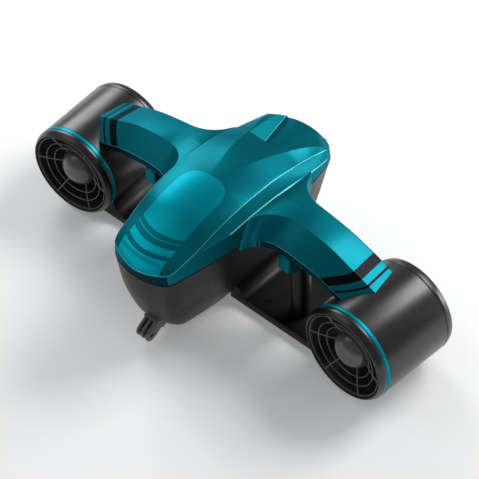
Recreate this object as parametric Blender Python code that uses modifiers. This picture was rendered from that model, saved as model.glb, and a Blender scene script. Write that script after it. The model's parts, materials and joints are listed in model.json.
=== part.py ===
"""Underwater scooter: a central hull with a thruster on each side, joined by an arm above and a wing below.

A hand closes round each upright grip between the arm and the wing, and a finger pulls the trigger in front of it.
X runs to the right, +Y to the tail and +Z up. Tables are in millimetres and every mesh is made in metres. The design
frame has its origin between the thrusters, at the height of their axes. The root empty lifts it on to the ground.
"""

import math

import bmesh
import bpy
from mathutils import Vector

MM = 0.001
GAP = 0.3

# Design frame to ground frame: the hull's flat keel stands at z = 0, half-way along the object.
DATUM = (0.0, -15.25, 56.0)

# Thrusters.
THRUSTER_X = 187.7
TOE_OUT = math.radians(4.81)
DUCT_R = 52.0
BORE_R = 46.5
LIP_R = 48.4
BEZEL_Y = (-22.5, -13.8)
ACCENT_Y = (-13.5, -9.4)
SHELL_Y = (-9.1, 70.7)
NOZZLE_Y = (71.0, 81.5)
SEGMENTS = 32
HUB_SEGMENTS = 20
SMALL_SEGMENTS = 14

# Inside a thruster, along its axis.
SHAFT_R = 3.0
DOME_R = 20.5
DOME_Y = -7.0
DOME_HEIGHT = 15.4
GUARD_R = 45.0
GUARD_Y = -20.0
GUARD_SINK = 10.0
GUARD_RINGS = (36.3, 28.4)
GUARD_BARS = 6
GUARD_SEGMENTS = 24
PROP_Y = (10.5, 29.5)
PROP_HUB_R = 15.0
PROP_R = 43.0
BLADES = 3
BLADE_SWEEP = 6.0
NUT_R = 5.6
MAGNET_Y = (45.0, 63.0)
MAGNET_R = 8.0
POD_Y = (31.0, 79.0)
POD_R = 17.5
VANES = 5
# Rings round the shaft: name, start, end, outer radius and finish.
SHAFT_RINGS = (
    ("shaft_seal", 32.0, 35.0, 12.6, "rubber"),
    ("front_bearing", 38.0, 42.0, 13.0, "steel"),
    ("rear_bearing", 64.2, 68.2, 9.8, "steel"),
)

# Hull.
HEM_Z = 58.5
TUB_TOP_Z = 57.2
KEEL_Z = -56.0
WALL = 3.2

# Tail fittings: name, height, radius, and the station of the tail's face there.
TAIL_FITTINGS = (("power_button", 34.0, 8.0, 142.5), ("charge_plug", 12.0, 6.5, 139.2))

# Camera mount: the clamp's pivot hole, its tilt and its fingers.
CLAMP_YZ = (-101.5, -39.0)
CLAMP_TILT = math.radians(34)
CLAMP_R = 7.5
CLAMP_HOLE_R = 2.6
FINGER_X = (-6.2, 0.0, 6.2)
FINGER_HALF = 1.5

# Lower wing and grip.
WING_Y = (0.0, 72.0)
WING_TOP_Z = -46.0
WING_END_X = 172.0
SCREW_SPOTS = ((61.0, 13.0), (132.0, 13.0))
HULL_FILLET_R = 11.0
HULL_FILLET_X = 44.5
DUCT_FILLET_R = 15.0
DUCT_FILLET_X = 131.0
GRIP_BOTTOM = (94.5, 27.0, -52.0)
GRIP_TOP = (91.5, 25.0, 62.0)
GRIP_HALF = (9.6, 11.0)

# Trigger.
TRIGGER_X = (83.0, 97.0)
PIVOT_YZ = (15.0, 60.0)
PIN_R = 1.5
PIN_HALF = 17.0
COIL_R = 2.3
COIL_WIRE_R = 0.4
COIL_TURNS = 3
COIL_POINTS = 8
COIL_PITCH = 1.28

# Right half of the hull's loops, from the nose to the tail: x, y, z.
CREASE = [
    (0, -114.3, 65.5), (10, -113.6, 66.7), (20, -111.4, 68.4), (27, -108.7, 70.3), (34.2, -104, 71.3),
    (37.4, -98, 72.8), (38.8, -92, 75.1), (40, -80, 78.9), (41.2, -68, 82.4), (42.5, -50, 89.5),
    (43.1, -32, 94.1), (43.1, -15, 96.6), (43, 0, 97.6), (42.8, 30, 97.6), (42.3, 50, 95.6),
    (41.6, 68, 91.8), (40.6, 80, 88.4), (40.2, 88, 86.3), (40, 104, 82.1), (39.9, 120, 77.2),
    (39, 128.5, 73.6), (36.5, 134.5, 71.2), (28, 140, 70.8), (14, 143.6, 73.5), (0, 144.5, 74.5),
]
HEM = [
    (0, -115), (10, -114.3), (20, -112), (27, -109.3), (34.6, -104.4), (37.9, -98), (39.5, -92), (41.8, -80),
    (44.2, -68), (47.6, -50), (50.2, -32), (50.6, -15), (50.6, 0), (50.4, 30), (50.2, 50), (50, 68),
    (49.6, 80), (49.2, 88), (47.6, 104), (44.5, 119), (42, 128), (37.8, 135.5), (28.6, 141.2), (14.3, 144.6),
    (0, 145.5),
]
# The girdle is the groove between the canopy's side and the arm. It fades out at the nose and the tail.
GIRDLE_MIDDLE = {
    7: (40.8, 76), 8: (42.8, 80), 9: (46.7, 81.3), 10: (50.3, 82.7), 11: (50.7, 84.4), 12: (50.9, 85.1),
    13: (50.2, 83.8), 14: (49.9, 81.4), 15: (49.5, 78.6), 16: (49.4, 76.6), 17: (49.1, 75.2), 18: (47.5, 72),
    19: (44.5, 67.5),
}
CORNER = 4
TAIL_CORNER = 20
# Crown height above the crease, and how far the crown runs ahead of it, for the rows between the corners.
CROWN = [6, 7.5, 8.5, 9.5, 9.5, 8.5, 7.8, 7.2, 7, 6.8, 6.4, 6, 5.8, 5, 3]
LEAD = [9, 8.2, 6.5, 5, 3, 1, 0, 0, 0, 0, 0, 0, -2, -8, -13]

# Tub contours: height, and the hem's scale across, ahead and astern.
TUB_LEVELS = [
    (TUB_TOP_Z, 1.0, 1.0, 1.0), (40, 0.93, 0.99, 0.985), (20, 0.86, 0.965, 0.965), (0, 0.78, 0.915, 0.945),
    (-15, 0.72, 0.86, 0.92), (-30, 0.62, 0.765, 0.88), (-40, 0.53, 0.69, 0.83), (-47, 0.45, 0.625, 0.79),
    (-53, 0.36, 0.56, 0.75), (KEEL_Z, 0.27, 0.5, 0.7),
]

# The scoop in the tail deck: two floor corners, and the rise of its walls.
SCOOP_FLOOR = ((11.9, 90.5, 79.0), (27.2, 148.5, 69.3))
SCOOP_CROWN = 2.2
SCOOP_RISE = (9.0, -10.6, 14.0)

# Arm stations: x, front y, rear y, bottom z, lip top z, crease y, crease z, rear top z.
ARM = [
    (44, -19, 94, 48.5, 58.5, -9, 85.4, 75.5),
    (50.5, -17, 90, 48.8, 58.8, -4, 84.6, 76),
    (56, -7, 78, 49.5, 58.5, 8, 83.4, 78),
    (62, -3, 70, 50.5, 59, 16, 81.8, 79.2),
    (70, 0, 64, 52.5, 61, 22, 80.2, 79.6),
    (81, 1.6, 60.5, 54.3, 62, 25.3, 79.2, 79),
    (100, 1.6, 60, 53.8, 61.5, 25.3, 79.2, 76),
    (128, 1.6, 60, 50, 57.5, 25.3, 74.7, 70),
    (158, 1.4, 60, 42.4, 47.5, 25.3, 62.8, 59.6),
    (186.3, 1, 60, 34, 37, 25.3, 51.6, 48),
]
ARM_WALL = 3.0
CAVITY_X = (54.0, 176.0)
FLOOR_X = (54.0, 160.0)

# Motor lead: its centre line through the arm, and its radius.
CABLE = [
    (57, 40, 62), (66, 40, 63), (80, 40, 64.5), (95, 40, 64.5), (110, 40, 62.5), (125, 40, 59.5), (140, 40, 54.5),
]
CABLE_R = 2.8

COLOURS = {
    "teal_paint": ((0.005, 0.22, 0.27, 1), 0.3, 0.6),
    "black_plastic": ((0.012, 0.012, 0.013, 1), 0.4, 0.0),
    "steel": ((0.6, 0.6, 0.62, 1), 0.3, 1.0),
    "copper": ((0.55, 0.24, 0.1, 1), 0.4, 1.0),
    "board": ((0.01, 0.12, 0.05, 1), 0.5, 0.0),
    "battery_wrap": ((0.02, 0.05, 0.16, 1), 0.5, 0.0),
    "rubber": ((0.02, 0.02, 0.02, 1), 0.8, 0.0),
}


def clear_scene():
    for old in list(bpy.data.objects):
        bpy.data.objects.remove(old, do_unlink=True)


def new_collection(name):
    collection = bpy.data.collections.new(name)
    bpy.context.scene.collection.children.link(collection)
    return collection


def material(name):
    found = bpy.data.materials.get(name)
    if found:
        return found
    made = bpy.data.materials.new(name)
    made.use_nodes = True
    colour, roughness, metallic = COLOURS[name]
    shader = made.node_tree.nodes["Principled BSDF"]
    shader.inputs["Base Color"].default_value = colour
    shader.inputs["Roughness"].default_value = roughness
    shader.inputs["Metallic"].default_value = metallic
    return made


def add_object(name, mesh, finish=None, frame=None):
    """Link a mesh as a part with a finish, or as a hidden cutter without one, in the frame given."""
    made = bpy.data.objects.new(name, mesh)
    (parts if finish else cutters).objects.link(made)
    made.parent = frame or root
    if finish:
        mesh.materials.append(material(finish))
    else:
        made.hide_render = True
        made.display_type = "WIRE"
    return made


def mesh_from(name, points, faces):
    """Make a closed mesh from points in millimetres, with its faces turned outwards."""
    mesh = bpy.data.meshes.new(name)
    mesh.from_pydata([Vector(p) * MM for p in points], [], faces)
    shape = bmesh.new()
    shape.from_mesh(mesh)
    bmesh.ops.remove_doubles(shape, verts=shape.verts, dist=0.00001)
    bmesh.ops.recalc_face_normals(shape, faces=shape.faces)
    if shape.calc_volume(signed=True) < 0:
        bmesh.ops.reverse_faces(shape, faces=shape.faces)
    shape.to_mesh(mesh)
    shape.free()
    mesh.shade_smooth()
    mesh.set_sharp_from_angle(angle=math.radians(35))
    return mesh


def loft_mesh(name, rings):
    """Skin a stack of closed rings with the same number of points, and cap both ends."""
    count = len(rings[0])
    points = [p for ring in rings for p in ring]
    faces = [list(range(count)), list(range(len(points) - count, len(points)))]
    for level in range(len(rings) - 1):
        low = level * count
        for side in range(count):
            following = (side + 1) % count
            faces.append([low + side, low + following, low + count + following, low + count + side])
    return mesh_from(name, points, faces)


def box_mesh(name, low, high):
    """Make a box between two corners in millimetres."""
    mesh = bpy.data.meshes.new(name)
    shape = bmesh.new()
    bmesh.ops.create_cube(shape, size=1.0)
    size = [(b - a) * MM for a, b in zip(low, high)]
    centre = [(a + b) / 2 * MM for a, b in zip(low, high)]
    bmesh.ops.scale(shape, vec=size, verts=shape.verts)
    bmesh.ops.translate(shape, vec=centre, verts=shape.verts)
    shape.to_mesh(mesh)
    shape.free()
    return mesh


def turned(name, profile, finish, frame, segments=SEGMENTS):
    """Turn a closed (radius, station) profile about the frame's local Z, as a ring or, from radius 0, as a solid."""
    mesh = bpy.data.meshes.new(name)
    solid = profile[0][0] == 0
    edges = [(i, i + 1) for i in range(len(profile) - 1)]
    if not solid:
        edges.append((len(profile) - 1, 0))
    mesh.from_pydata([(r * MM, 0, s * MM) for r, s in profile], edges, [])
    made = add_object(name, mesh, finish, frame)
    screw = made.modifiers.new("turn", "SCREW")
    screw.steps = segments
    screw.render_steps = segments
    screw.use_merge_vertices = True
    screw.merge_threshold = 0.00001
    return made


def boolean(target, cutter, operation="DIFFERENCE"):
    modifier = target.modifiers.new(cutter.name, "BOOLEAN")
    modifier.operation = operation
    modifier.solver = "EXACT"
    modifier.object = cutter


def across_hole(target, radius, frame):
    """Drill a round hole through an object along its frame's local X."""
    cutter = turned(target.name + "_hole", [(0, 30), (radius, 30), (radius, -30), (0, -30)], None, frame, 16)
    cutter.rotation_euler = (0, math.radians(90), 0)
    boolean(target, cutter)


def tube(name, points, radius, finish, frame=None, sides=2):
    """Make a round wire through points in millimetres, with filled ends."""
    curve = bpy.data.curves.new(name, "CURVE")
    curve.dimensions = "3D"
    curve.bevel_depth = radius * MM
    curve.bevel_resolution = sides
    curve.use_fill_caps = True
    spline = curve.splines.new("POLY")
    spline.points.add(len(points) - 1)
    for node, place in zip(spline.points, points):
        node.co = (*[value * MM for value in place], 1)
    made = bpy.data.objects.new(name, curve)
    parts.objects.link(made)
    made.parent = frame or root
    curve.materials.append(material(finish))
    return made


def side_name(side, name):
    return ("right_" if side > 0 else "left_") + name


def table_at(table, x):
    """Read a table's row at x, on straight lines between its rows."""
    for low, high in zip(table, table[1:]):
        if x <= high[0]:
            break
    share = (x - low[0]) / (high[0] - low[0])
    return [a + (b - a) * share for a, b in zip(low, high)]


# Hull.


def full_loop(half):
    """Close a right half, given from nose to tail, with its mirror image."""
    return list(half) + [(-p[0], *p[1:]) for p in reversed(half[1:-1])]


def girdle():
    loop = []
    for index, (top, low) in enumerate(zip(CREASE, HEM)):
        if index in GIRDLE_MIDDLE:
            x, z = GIRDLE_MIDDLE[index]
            loop.append((x, top[1], z))
        else:
            loop.append(((top[0] + low[0]) / 2, (top[1] + low[1]) / 2, (top[2] + HEM_Z) / 2))
    return loop


def inset_point(point, inset, roof):
    """Move a canopy point inwards by about the inset, and under the roof height astern."""
    x, y, z = point
    x *= 1 - inset / 45
    y = 15 + (y - 15) * (1 - inset / 128)
    z -= inset
    return x, y, min(z, roof) if y > 66 else z


def canopy_mesh(name, inset=0.0, bottom=HEM_Z, roof=1000.0):
    """Build the canopy's outer solid, or its cavity with an inset: a crowned top over a skirt."""
    rows = []
    nose = CREASE[CORNER::-1]
    tail = CREASE[TAIL_CORNER:]
    inner = CREASE[CORNER + 1:TAIL_CORNER]
    rows.append([(-x, y, z) for x, y, z in nose] + list(reversed(nose))[1:])
    for index, (edge_x, edge_y, edge_z) in enumerate(inner):
        share = (index + 1) / (len(inner) + 1)
        row = []
        for ahead, astern in zip(nose, tail):
            across = ahead[0] / nose[0][0] * (1 - share) + astern[0] / tail[0][0] * share
            y = edge_y - LEAD[index] * (1 - across ** 2)
            z = edge_z + CROWN[index] * (1 - across ** 2.2)
            row.append((edge_x * across, y, z))
        rows.append([(-x, y, z) for x, y, z in row] + list(reversed(row))[1:])
    rows.append([(-x, y, z) for x, y, z in tail] + list(reversed(tail))[1:])
    width = len(rows[0])
    points = [inset_point(p, inset, roof) for row in rows for p in row]
    faces = []
    for row in range(len(rows) - 1):
        for column in range(width - 1):
            corner = row * width + column
            faces.append([corner, corner + 1, corner + width + 1, corner + width])
    hem = [(x, y, HEM_Z + inset) for x, y in HEM]
    loops = [full_loop(CREASE), full_loop(girdle()), full_loop(hem)]
    start = len(points)
    count = len(loops[0])
    for loop in loops:
        points += [inset_point(p, inset, roof) for p in loop]
    points[-count:] = [(x, y, bottom) for x, y, z in points[-count:]]
    for level in range(2):
        for side in range(count):
            low = start + level * count
            following = (side + 1) % count
            faces.append([low + side, low + following, low + count + following, low + count + side])
    faces.append(list(range(len(points) - count, len(points))))
    return mesh_from(name, points, faces)


def hem_ring(z, across, ahead, astern, inset=0.0):
    """Scale the hem's outline to a tub contour, less an inset."""
    ring = []
    for x, y in full_loop(HEM):
        length = ahead if y < 0 else astern
        narrow = 1 - inset / (50 * across)
        short = 1 - inset / (120 * length)
        ring.append((x * across * narrow, y * length * short, z))
    return ring


def tub_mesh(name, inset=0.0, lift=0.0, top=TUB_TOP_Z):
    """Build the tub's outer solid, or its plainer cavity with an inset and a raised floor."""
    rings = []
    levels = TUB_LEVELS if inset <= 0 else TUB_LEVELS[0:1] + TUB_LEVELS[3::2]
    for z, across, ahead, astern in levels:
        level = top if z == TUB_TOP_Z else z + lift
        rings.append(hem_ring(level, across, ahead, astern, inset))
    return loft_mesh(name, rings)


def scoop_mesh():
    """Build the cutter for the tail scoop, whose walls lean outwards from its floor."""
    floor = []
    for x, y, z in SCOOP_FLOOR:
        floor.append([(-x, y, z), (0, y, z + SCOOP_CROWN), (x, y, z)])
    rise = Vector(SCOOP_RISE) * 1.8
    rings = []
    for row in floor:
        over = [(x + rise.x * (1 if x > 0 else -1), y + rise.y, z + rise.z) for x, y, z in (row[2], row[0])]
        rings.append(row + over)
    return loft_mesh("scoop_cutter", rings)


def make_hull():
    cover = add_object("top_cover", canopy_mesh("top_cover"), "teal_paint")
    boolean(cover, add_object("scoop_cutter", scoop_mesh()))
    cavity = canopy_mesh("canopy_cavity", inset=WALL, bottom=HEM_Z - 5, roof=66.5)
    boolean(cover, add_object("canopy_cavity", cavity))

    tub = add_object("lower_hull", tub_mesh("lower_hull"), "black_plastic")
    cavity = tub_mesh("tub_cavity", inset=WALL, lift=WALL, top=TUB_TOP_Z + 5)
    boolean(tub, add_object("tub_cavity", cavity))

    outer = [hem_ring(z, 1, 1, 1, 0.5) for z in (TUB_TOP_Z + GAP, HEM_Z - GAP)]
    seal = add_object("hull_seal", loft_mesh("hull_seal", outer), "rubber")
    hollow = [hem_ring(z, 1, 1, 1, 2.8) for z in (TUB_TOP_Z - 1, HEM_Z + 1)]
    boolean(seal, add_object("seal_cutter", loft_mesh("seal_cutter", hollow)))
    return tub


def make_hull_contents():
    section = [(-12, -48), (12, -48), (21, -30), (25, 18), (-25, 18), (-21, -30)]
    rings = [[(x, y, z) for x, z in section] for y in (-38, 82)]
    add_object("battery_pack", loft_mesh("battery_pack", rings), "battery_wrap")

    board = add_object("controller_board", box_mesh("controller_board", (-27, -48, 26), (27, 72, 28)), "board")
    for index, (x, y, wide, high) in enumerate(((-10, -25, 12, 9), (8, 10, 14, 7), (-6, 48, 16, 11))):
        block = box_mesh("board_block", (x - wide / 2, y - wide / 2, 27), (x + wide / 2, y + wide / 2, 28 + high))
        boolean(board, add_object("board_block_%d" % index, block), "UNION")


def place_on_tail(made, y, z):
    """Turn an object whose local Z is its outward axis to face astern, on the middle line."""
    made.location = Vector((0, y, z)) * MM
    made.rotation_euler = (math.radians(-90), 0, 0)


def make_tail_fittings(tub):
    """Set the power button and the charging plug in the tail's black face."""
    for name, z, radius, face_y in TAIL_FITTINGS:
        cap = [
            (0, 2), (radius - 1.2, 2), (radius, 1.2), (radius, -2), (radius - 1, -2), (radius - 1, -6), (0, -6),
        ]
        place_on_tail(turned(name, cap, "rubber", root, SMALL_SEGMENTS), face_y, z)
        wide = radius + 0.5
        hole = [(0, 12), (wide, 12), (wide, -30), (0, -30)]
        cutter = turned(name + "_hole", hole, None, root, SMALL_SEGMENTS)
        place_on_tail(cutter, face_y, z)
        boolean(tub, cutter)


def make_camera_mount(tub_cutter):
    """Three clamp fingers and a foot, pointing ahead and down from the nose."""
    frame = bpy.data.objects.new("camera_mount_frame", None)
    parts.objects.link(frame)
    frame.parent = root
    frame.location = Vector((0, *CLAMP_YZ)) * MM
    frame.rotation_euler = (CLAMP_TILT, 0, 0)

    foot = add_object("camera_mount", box_mesh("camera_mount", (-9.5, 12, -8), (9.5, 30, 8)), "black_plastic", frame)
    steps = 8
    arc = [math.radians(90 + 180 * i / steps) for i in range(steps + 1)]
    outline = [(CLAMP_R * math.cos(a), CLAMP_R * math.sin(a)) for a in arc] + [(13, -CLAMP_R), (13, CLAMP_R)]
    for index, centre in enumerate(FINGER_X):
        rings = [[(x, y, z) for y, z in outline] for x in (centre - FINGER_HALF, centre + FINGER_HALF)]
        finger = add_object("mount_finger_%d" % index, loft_mesh("mount_finger", rings), None, frame)
        boolean(foot, finger, "UNION")
    across_hole(foot, CLAMP_HOLE_R, frame)
    boolean(foot, tub_cutter)


# Arms, wings and grips.


def arm_ring(x, inset=0.0, drop=0.0):
    """Section of the arm at x: lip, front facet, top facet and rear wall."""
    _, front, rear, bottom, lip, crease_y, crease_z, rear_z = table_at(ARM, x)
    low = bottom - drop
    return [
        (x, front + inset, low), (x, front + inset, lip - inset / 2), (x, crease_y + inset / 2, crease_z - inset),
        (x, rear - inset, rear_z - inset), (x, rear - inset, low),
    ]


def arm_mesh(name, side, inset=0.0, drop=0.0, start=ARM[0][0], end=ARM[-1][0]):
    stations = [start] + [row[0] for row in ARM if start < row[0] < end] + [end]
    rings = [[(side * x, y, z) for x, y, z in arm_ring(station, inset, drop)] for station in stations]
    return loft_mesh(name, rings)


def arm_floor_mesh(name, side):
    """Plate that closes the arm from below, just inside its rim."""
    inset = ARM_WALL + GAP
    rings = []
    first, last = FLOOR_X
    for station in [first] + [row[0] for row in ARM if first < row[0] < last] + [last]:
        _, front, rear, bottom, *_ = table_at(ARM, station)
        low, high = bottom + 0.5, bottom + 2.5
        front += inset
        rear -= inset
        section = [(front, low), (front, high), (rear, high), (rear, low)]
        rings.append([(side * station, y, z) for y, z in section])
    return loft_mesh(name, rings)


def make_arm(side, duct_cutter, hull_cutters, trigger_slot):
    name = side_name(side, "arm_cover")
    cover = add_object(name, arm_mesh(name, side), "teal_paint")
    cavity = arm_mesh(name + "_cavity", side, ARM_WALL, 5.0, *CAVITY_X)
    boolean(cover, add_object(name + "_cavity", cavity))
    for cutter in hull_cutters + [duct_cutter]:
        boolean(cover, cutter)

    name = side_name(side, "arm_floor")
    floor = add_object(name, arm_floor_mesh(name, side), "black_plastic")
    boolean(floor, duct_cutter)
    boolean(floor, trigger_slot)


def wing_mesh(name, side):
    """Lower wing whose top curves up into the hull's side and, further out, up to the toed-out duct."""
    quarter = [math.radians(90 * i / 5) for i in range(6)]
    inner = [(HULL_FILLET_X - HULL_FILLET_R * math.sin(a), HULL_FILLET_R * (1 - math.cos(a))) for a in quarter]
    outer = [(DUCT_FILLET_X + DUCT_FILLET_R * math.sin(a), DUCT_FILLET_R * (1 - math.cos(a))) for a in quarter]
    rings = []
    for y in WING_Y:
        shift = y * math.tan(TOE_OUT)
        section = [(22, KEEL_Z), (WING_END_X, KEEL_Z), (WING_END_X, WING_TOP_Z + DUCT_FILLET_R)]
        section += [(x + shift, WING_TOP_Z + rise) for x, rise in reversed(outer)]
        section += [(x, WING_TOP_Z + rise) for x, rise in inner] + [(22, WING_TOP_Z + HULL_FILLET_R)]
        rings.append([(side * x, y, z) for x, z in section])
    return loft_mesh(name, rings)


def grip_mesh(name, side, count=16, levels=6):
    """Upright oval bar from the wing to the arm, a little waisted where the fingers close."""
    low, high = Vector(GRIP_BOTTOM), Vector(GRIP_TOP)
    rings = []
    for level in range(levels + 1):
        share = level / levels
        centre = low.lerp(high, share)
        waist = 1 - 0.05 * math.sin(math.pi * share) + 0.15 * (1 - share) ** 6
        ring = []
        for step in range(count):
            angle = 2 * math.pi * step / count
            x = centre.x + GRIP_HALF[0] * waist * math.cos(angle)
            y = centre.y + GRIP_HALF[1] * waist * math.sin(angle)
            ring.append((side * x, y, centre.z))
        rings.append(ring)
    return loft_mesh(name, rings)


def screw_profile(extra=0.0):
    """Outline of a countersunk screw, top to bottom."""
    head = 3.2 + extra
    shank = 1.6 + extra
    tip = -8.0 - extra
    return [(0, 0.2 + extra), (head, 0.2 + extra), (head, -1.2), (shank, -2.8), (shank, tip), (0, tip)]


def make_wing(side, duct_cutter, hull_cutters, trigger_slot):
    name = side_name(side, "wing_grip")
    wing = add_object(name, wing_mesh(name, side), "black_plastic")
    grip = add_object(name + "_bar", grip_mesh(name + "_bar", side))
    boolean(wing, grip, "UNION")
    under_arm = add_object(name + "_top_cutter", arm_mesh(name + "_top_cutter", side, -GAP, GAP, 50.0, 186.0))
    for cutter in hull_cutters + [duct_cutter, under_arm, trigger_slot]:
        boolean(wing, cutter)

    for label, (x, y) in zip(("inner_wing_screw", "outer_wing_screw"), SCREW_SPOTS):
        place = Vector((side * x, y, WING_TOP_Z - 0.3)) * MM
        hole = turned(side_name(side, label + "_hole"), screw_profile(GAP), None, root, 12)
        hole.location = place
        boolean(wing, hole)
        screw = turned(side_name(side, label), screw_profile(), "steel", root, 12)
        screw.location = place


def make_trigger(side):
    """Trigger on its pin, with its spring and switch, all between the arm's cover and its floor."""
    outline = [(-4.2, 3), (-8.5, -7), (-13, -10), (-13, -27), (-1, -36), (1.5, -32), (3.5, -8), (4.2, 3)]
    frame = bpy.data.objects.new(side_name(side, "trigger_pivot"), None)
    parts.objects.link(frame)
    frame.parent = root
    frame.location = Vector((side * sum(TRIGGER_X) / 2, *PIVOT_YZ)) * MM
    half = (TRIGGER_X[1] - TRIGGER_X[0]) / 2
    rings = [[(x, y, z) for y, z in outline] for x in (-half, half)]
    name = side_name(side, "trigger")
    trigger = add_object(name, loft_mesh(name, rings), "teal_paint", frame)
    across_hole(trigger, PIN_R + GAP, frame)

    pin_outline = [(0, PIN_HALF), (PIN_R, PIN_HALF), (PIN_R, -PIN_HALF), (0, -PIN_HALF)]
    pin = turned(side_name(side, "trigger_pin"), pin_outline, "steel", frame, 16)
    pin.rotation_euler = (0, math.radians(90), 0)

    coil = []
    for step in range(COIL_TURNS * COIL_POINTS + 1):
        angle = 2 * math.pi * step / COIL_POINTS
        along = half + 1.2 + COIL_PITCH * step / COIL_POINTS
        coil.append((along, COIL_R * math.cos(angle), COIL_R * math.sin(angle)))
    tube(side_name(side, "trigger_spring"), coil, COIL_WIRE_R, "steel", frame, sides=1)

    switch = box_mesh("trigger_switch", (-6, 8, -2.5), (6, 16, 5.5))
    add_object(side_name(side, "trigger_switch"), switch, "black_plastic", frame)


def make_motor_cable(side):
    """Three-core lead that runs through the arm from the controller to the motor."""
    tube(side_name(side, "motor_cable"), [(side * x, y, z) for x, y, z in CABLE], CABLE_R, "rubber")


# Thrusters.


def thruster_frame(side):
    """Empty whose local Z runs astern along the thruster's axis."""
    frame = bpy.data.objects.new(side_name(side, "thruster_frame"), None)
    parts.objects.link(frame)
    frame.parent = root
    frame.location = Vector((side * THRUSTER_X, 0, 0)) * MM
    frame.rotation_euler = (math.radians(-90), 0, -side * TOE_OUT)
    return frame


def make_duct(side, frame):
    """The duct's four rings, from the front: bezel, accent ring, shell and rear nozzle."""
    low, high = BEZEL_Y
    bezel = [
        (DUCT_R, high), (DUCT_R, high - 2), (DUCT_R - 0.8, high - 5), (DUCT_R - 2, low + 1.6), (LIP_R, low),
        (LIP_R - 1.4, low + 0.4), (BORE_R, low + 3), (BORE_R, high),
    ]
    turned(side_name(side, "front_bezel"), bezel, "black_plastic", frame)
    low, high = ACCENT_Y
    ring = [(DUCT_R + 0.2, high), (DUCT_R + 0.2, low), (BORE_R, low), (BORE_R, high)]
    turned(side_name(side, "accent_ring"), ring, "teal_paint", frame)
    low, high = SHELL_Y
    shell = [(DUCT_R, high), (DUCT_R, low), (BORE_R, low), (BORE_R, high)]
    turned(side_name(side, "duct_shell"), shell, "black_plastic", frame)
    low, high = NOZZLE_Y
    nozzle = [
        (DUCT_R - 2.6, high - 1.6), (DUCT_R - 0.8, high - 5), (DUCT_R, low + 1.5), (DUCT_R, low), (BORE_R, low),
        (BORE_R - 0.3, high), (DUCT_R - 4.2, high),
    ]
    turned(side_name(side, "rear_nozzle"), nozzle, "black_plastic", frame)


def guard_ring(radius, station, width=1.4, depth=2.2):
    return [
        (radius + width / 2, station + depth / 2), (radius + width / 2, station - depth / 2),
        (radius - width / 2, station - depth / 2), (radius - width / 2, station + depth / 2),
    ]


def guard_station(radius):
    """Station of the guard's bars at a radius: they sink towards the hub."""
    share = (GUARD_R - radius) / (GUARD_R - DOME_R)
    return GUARD_Y + GUARD_SINK * max(share, 0) ** 1.3


def make_guard(side, frame):
    """Front guard: a domed hub, six bars and two thin rings in a rim that fits the bezel."""
    name = side_name(side, "front_guard")
    rim = guard_ring(GUARD_R, GUARD_Y, 1.8, 3.0)
    guard = turned(name, rim, "black_plastic", frame, GUARD_SEGMENTS)
    for index, radius in enumerate(GUARD_RINGS):
        outline = guard_ring(radius, guard_station(radius))
        ring = turned("%s_ring_%d" % (name, index), outline, None, frame, GUARD_SEGMENTS)
        boolean(guard, ring, "UNION")
    arc = [math.radians(90 * i / 4) for i in range(4)]
    hub = [(0, 7.5), (DOME_R - 1, 7.5), (DOME_R, 5.5)]
    hub += [(DOME_R * math.cos(a), DOME_Y - DOME_HEIGHT * math.sin(a)) for a in arc]
    hub.append((0, DOME_Y - DOME_HEIGHT))
    boolean(guard, turned(name + "_hub", hub, None, frame, HUB_SEGMENTS), "UNION")
    for index in range(GUARD_BARS):
        rings = []
        for radius in (GUARD_R - 0.3, 37, 29, DOME_R - 2):
            depth = guard_station(radius)
            rings.append([(radius, a, depth + b) for a, b in ((-0.8, -1.2), (0.8, -1.2), (0.8, 1.2), (-0.8, 1.2))])
        bar = add_object("%s_bar_%d" % (name, index), loft_mesh("guard_bar", rings), None, frame)
        bar.rotation_euler = (0, 0, 2 * math.pi * index / GUARD_BARS)
        boolean(guard, bar, "UNION")


def blade_mesh(name, reach, station, chord, pitches, thick):
    """Twisted blade along local X: its reach and pitch angles run from the hub to the tip."""
    steps = 4
    rings = []
    for step in range(steps + 1):
        share = step / steps
        radius = reach[0] + (reach[1] - reach[0]) * share
        pitch = math.radians(pitches[0] + (pitches[1] - pitches[0]) * share)
        width = chord * (0.75 + 0.5 * math.sin(math.pi * share * 0.75)) * (1 - 0.35 * share ** 4)
        half = thick * (1 - 0.6 * share)
        sweep = BLADE_SWEEP * share ** 2
        ring = []
        for along, across in ((-0.5, 0), (-0.2, 1), (0.2, 1), (0.5, 0), (0.2, -0.6), (-0.2, -0.6)):
            a, b = along * width + sweep, across * half
            sideways = a * math.cos(pitch) - b * math.sin(pitch)
            ring.append((radius, sideways, station + a * math.sin(pitch) + b * math.cos(pitch)))
        rings.append(ring)
    return loft_mesh(name, rings)


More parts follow.
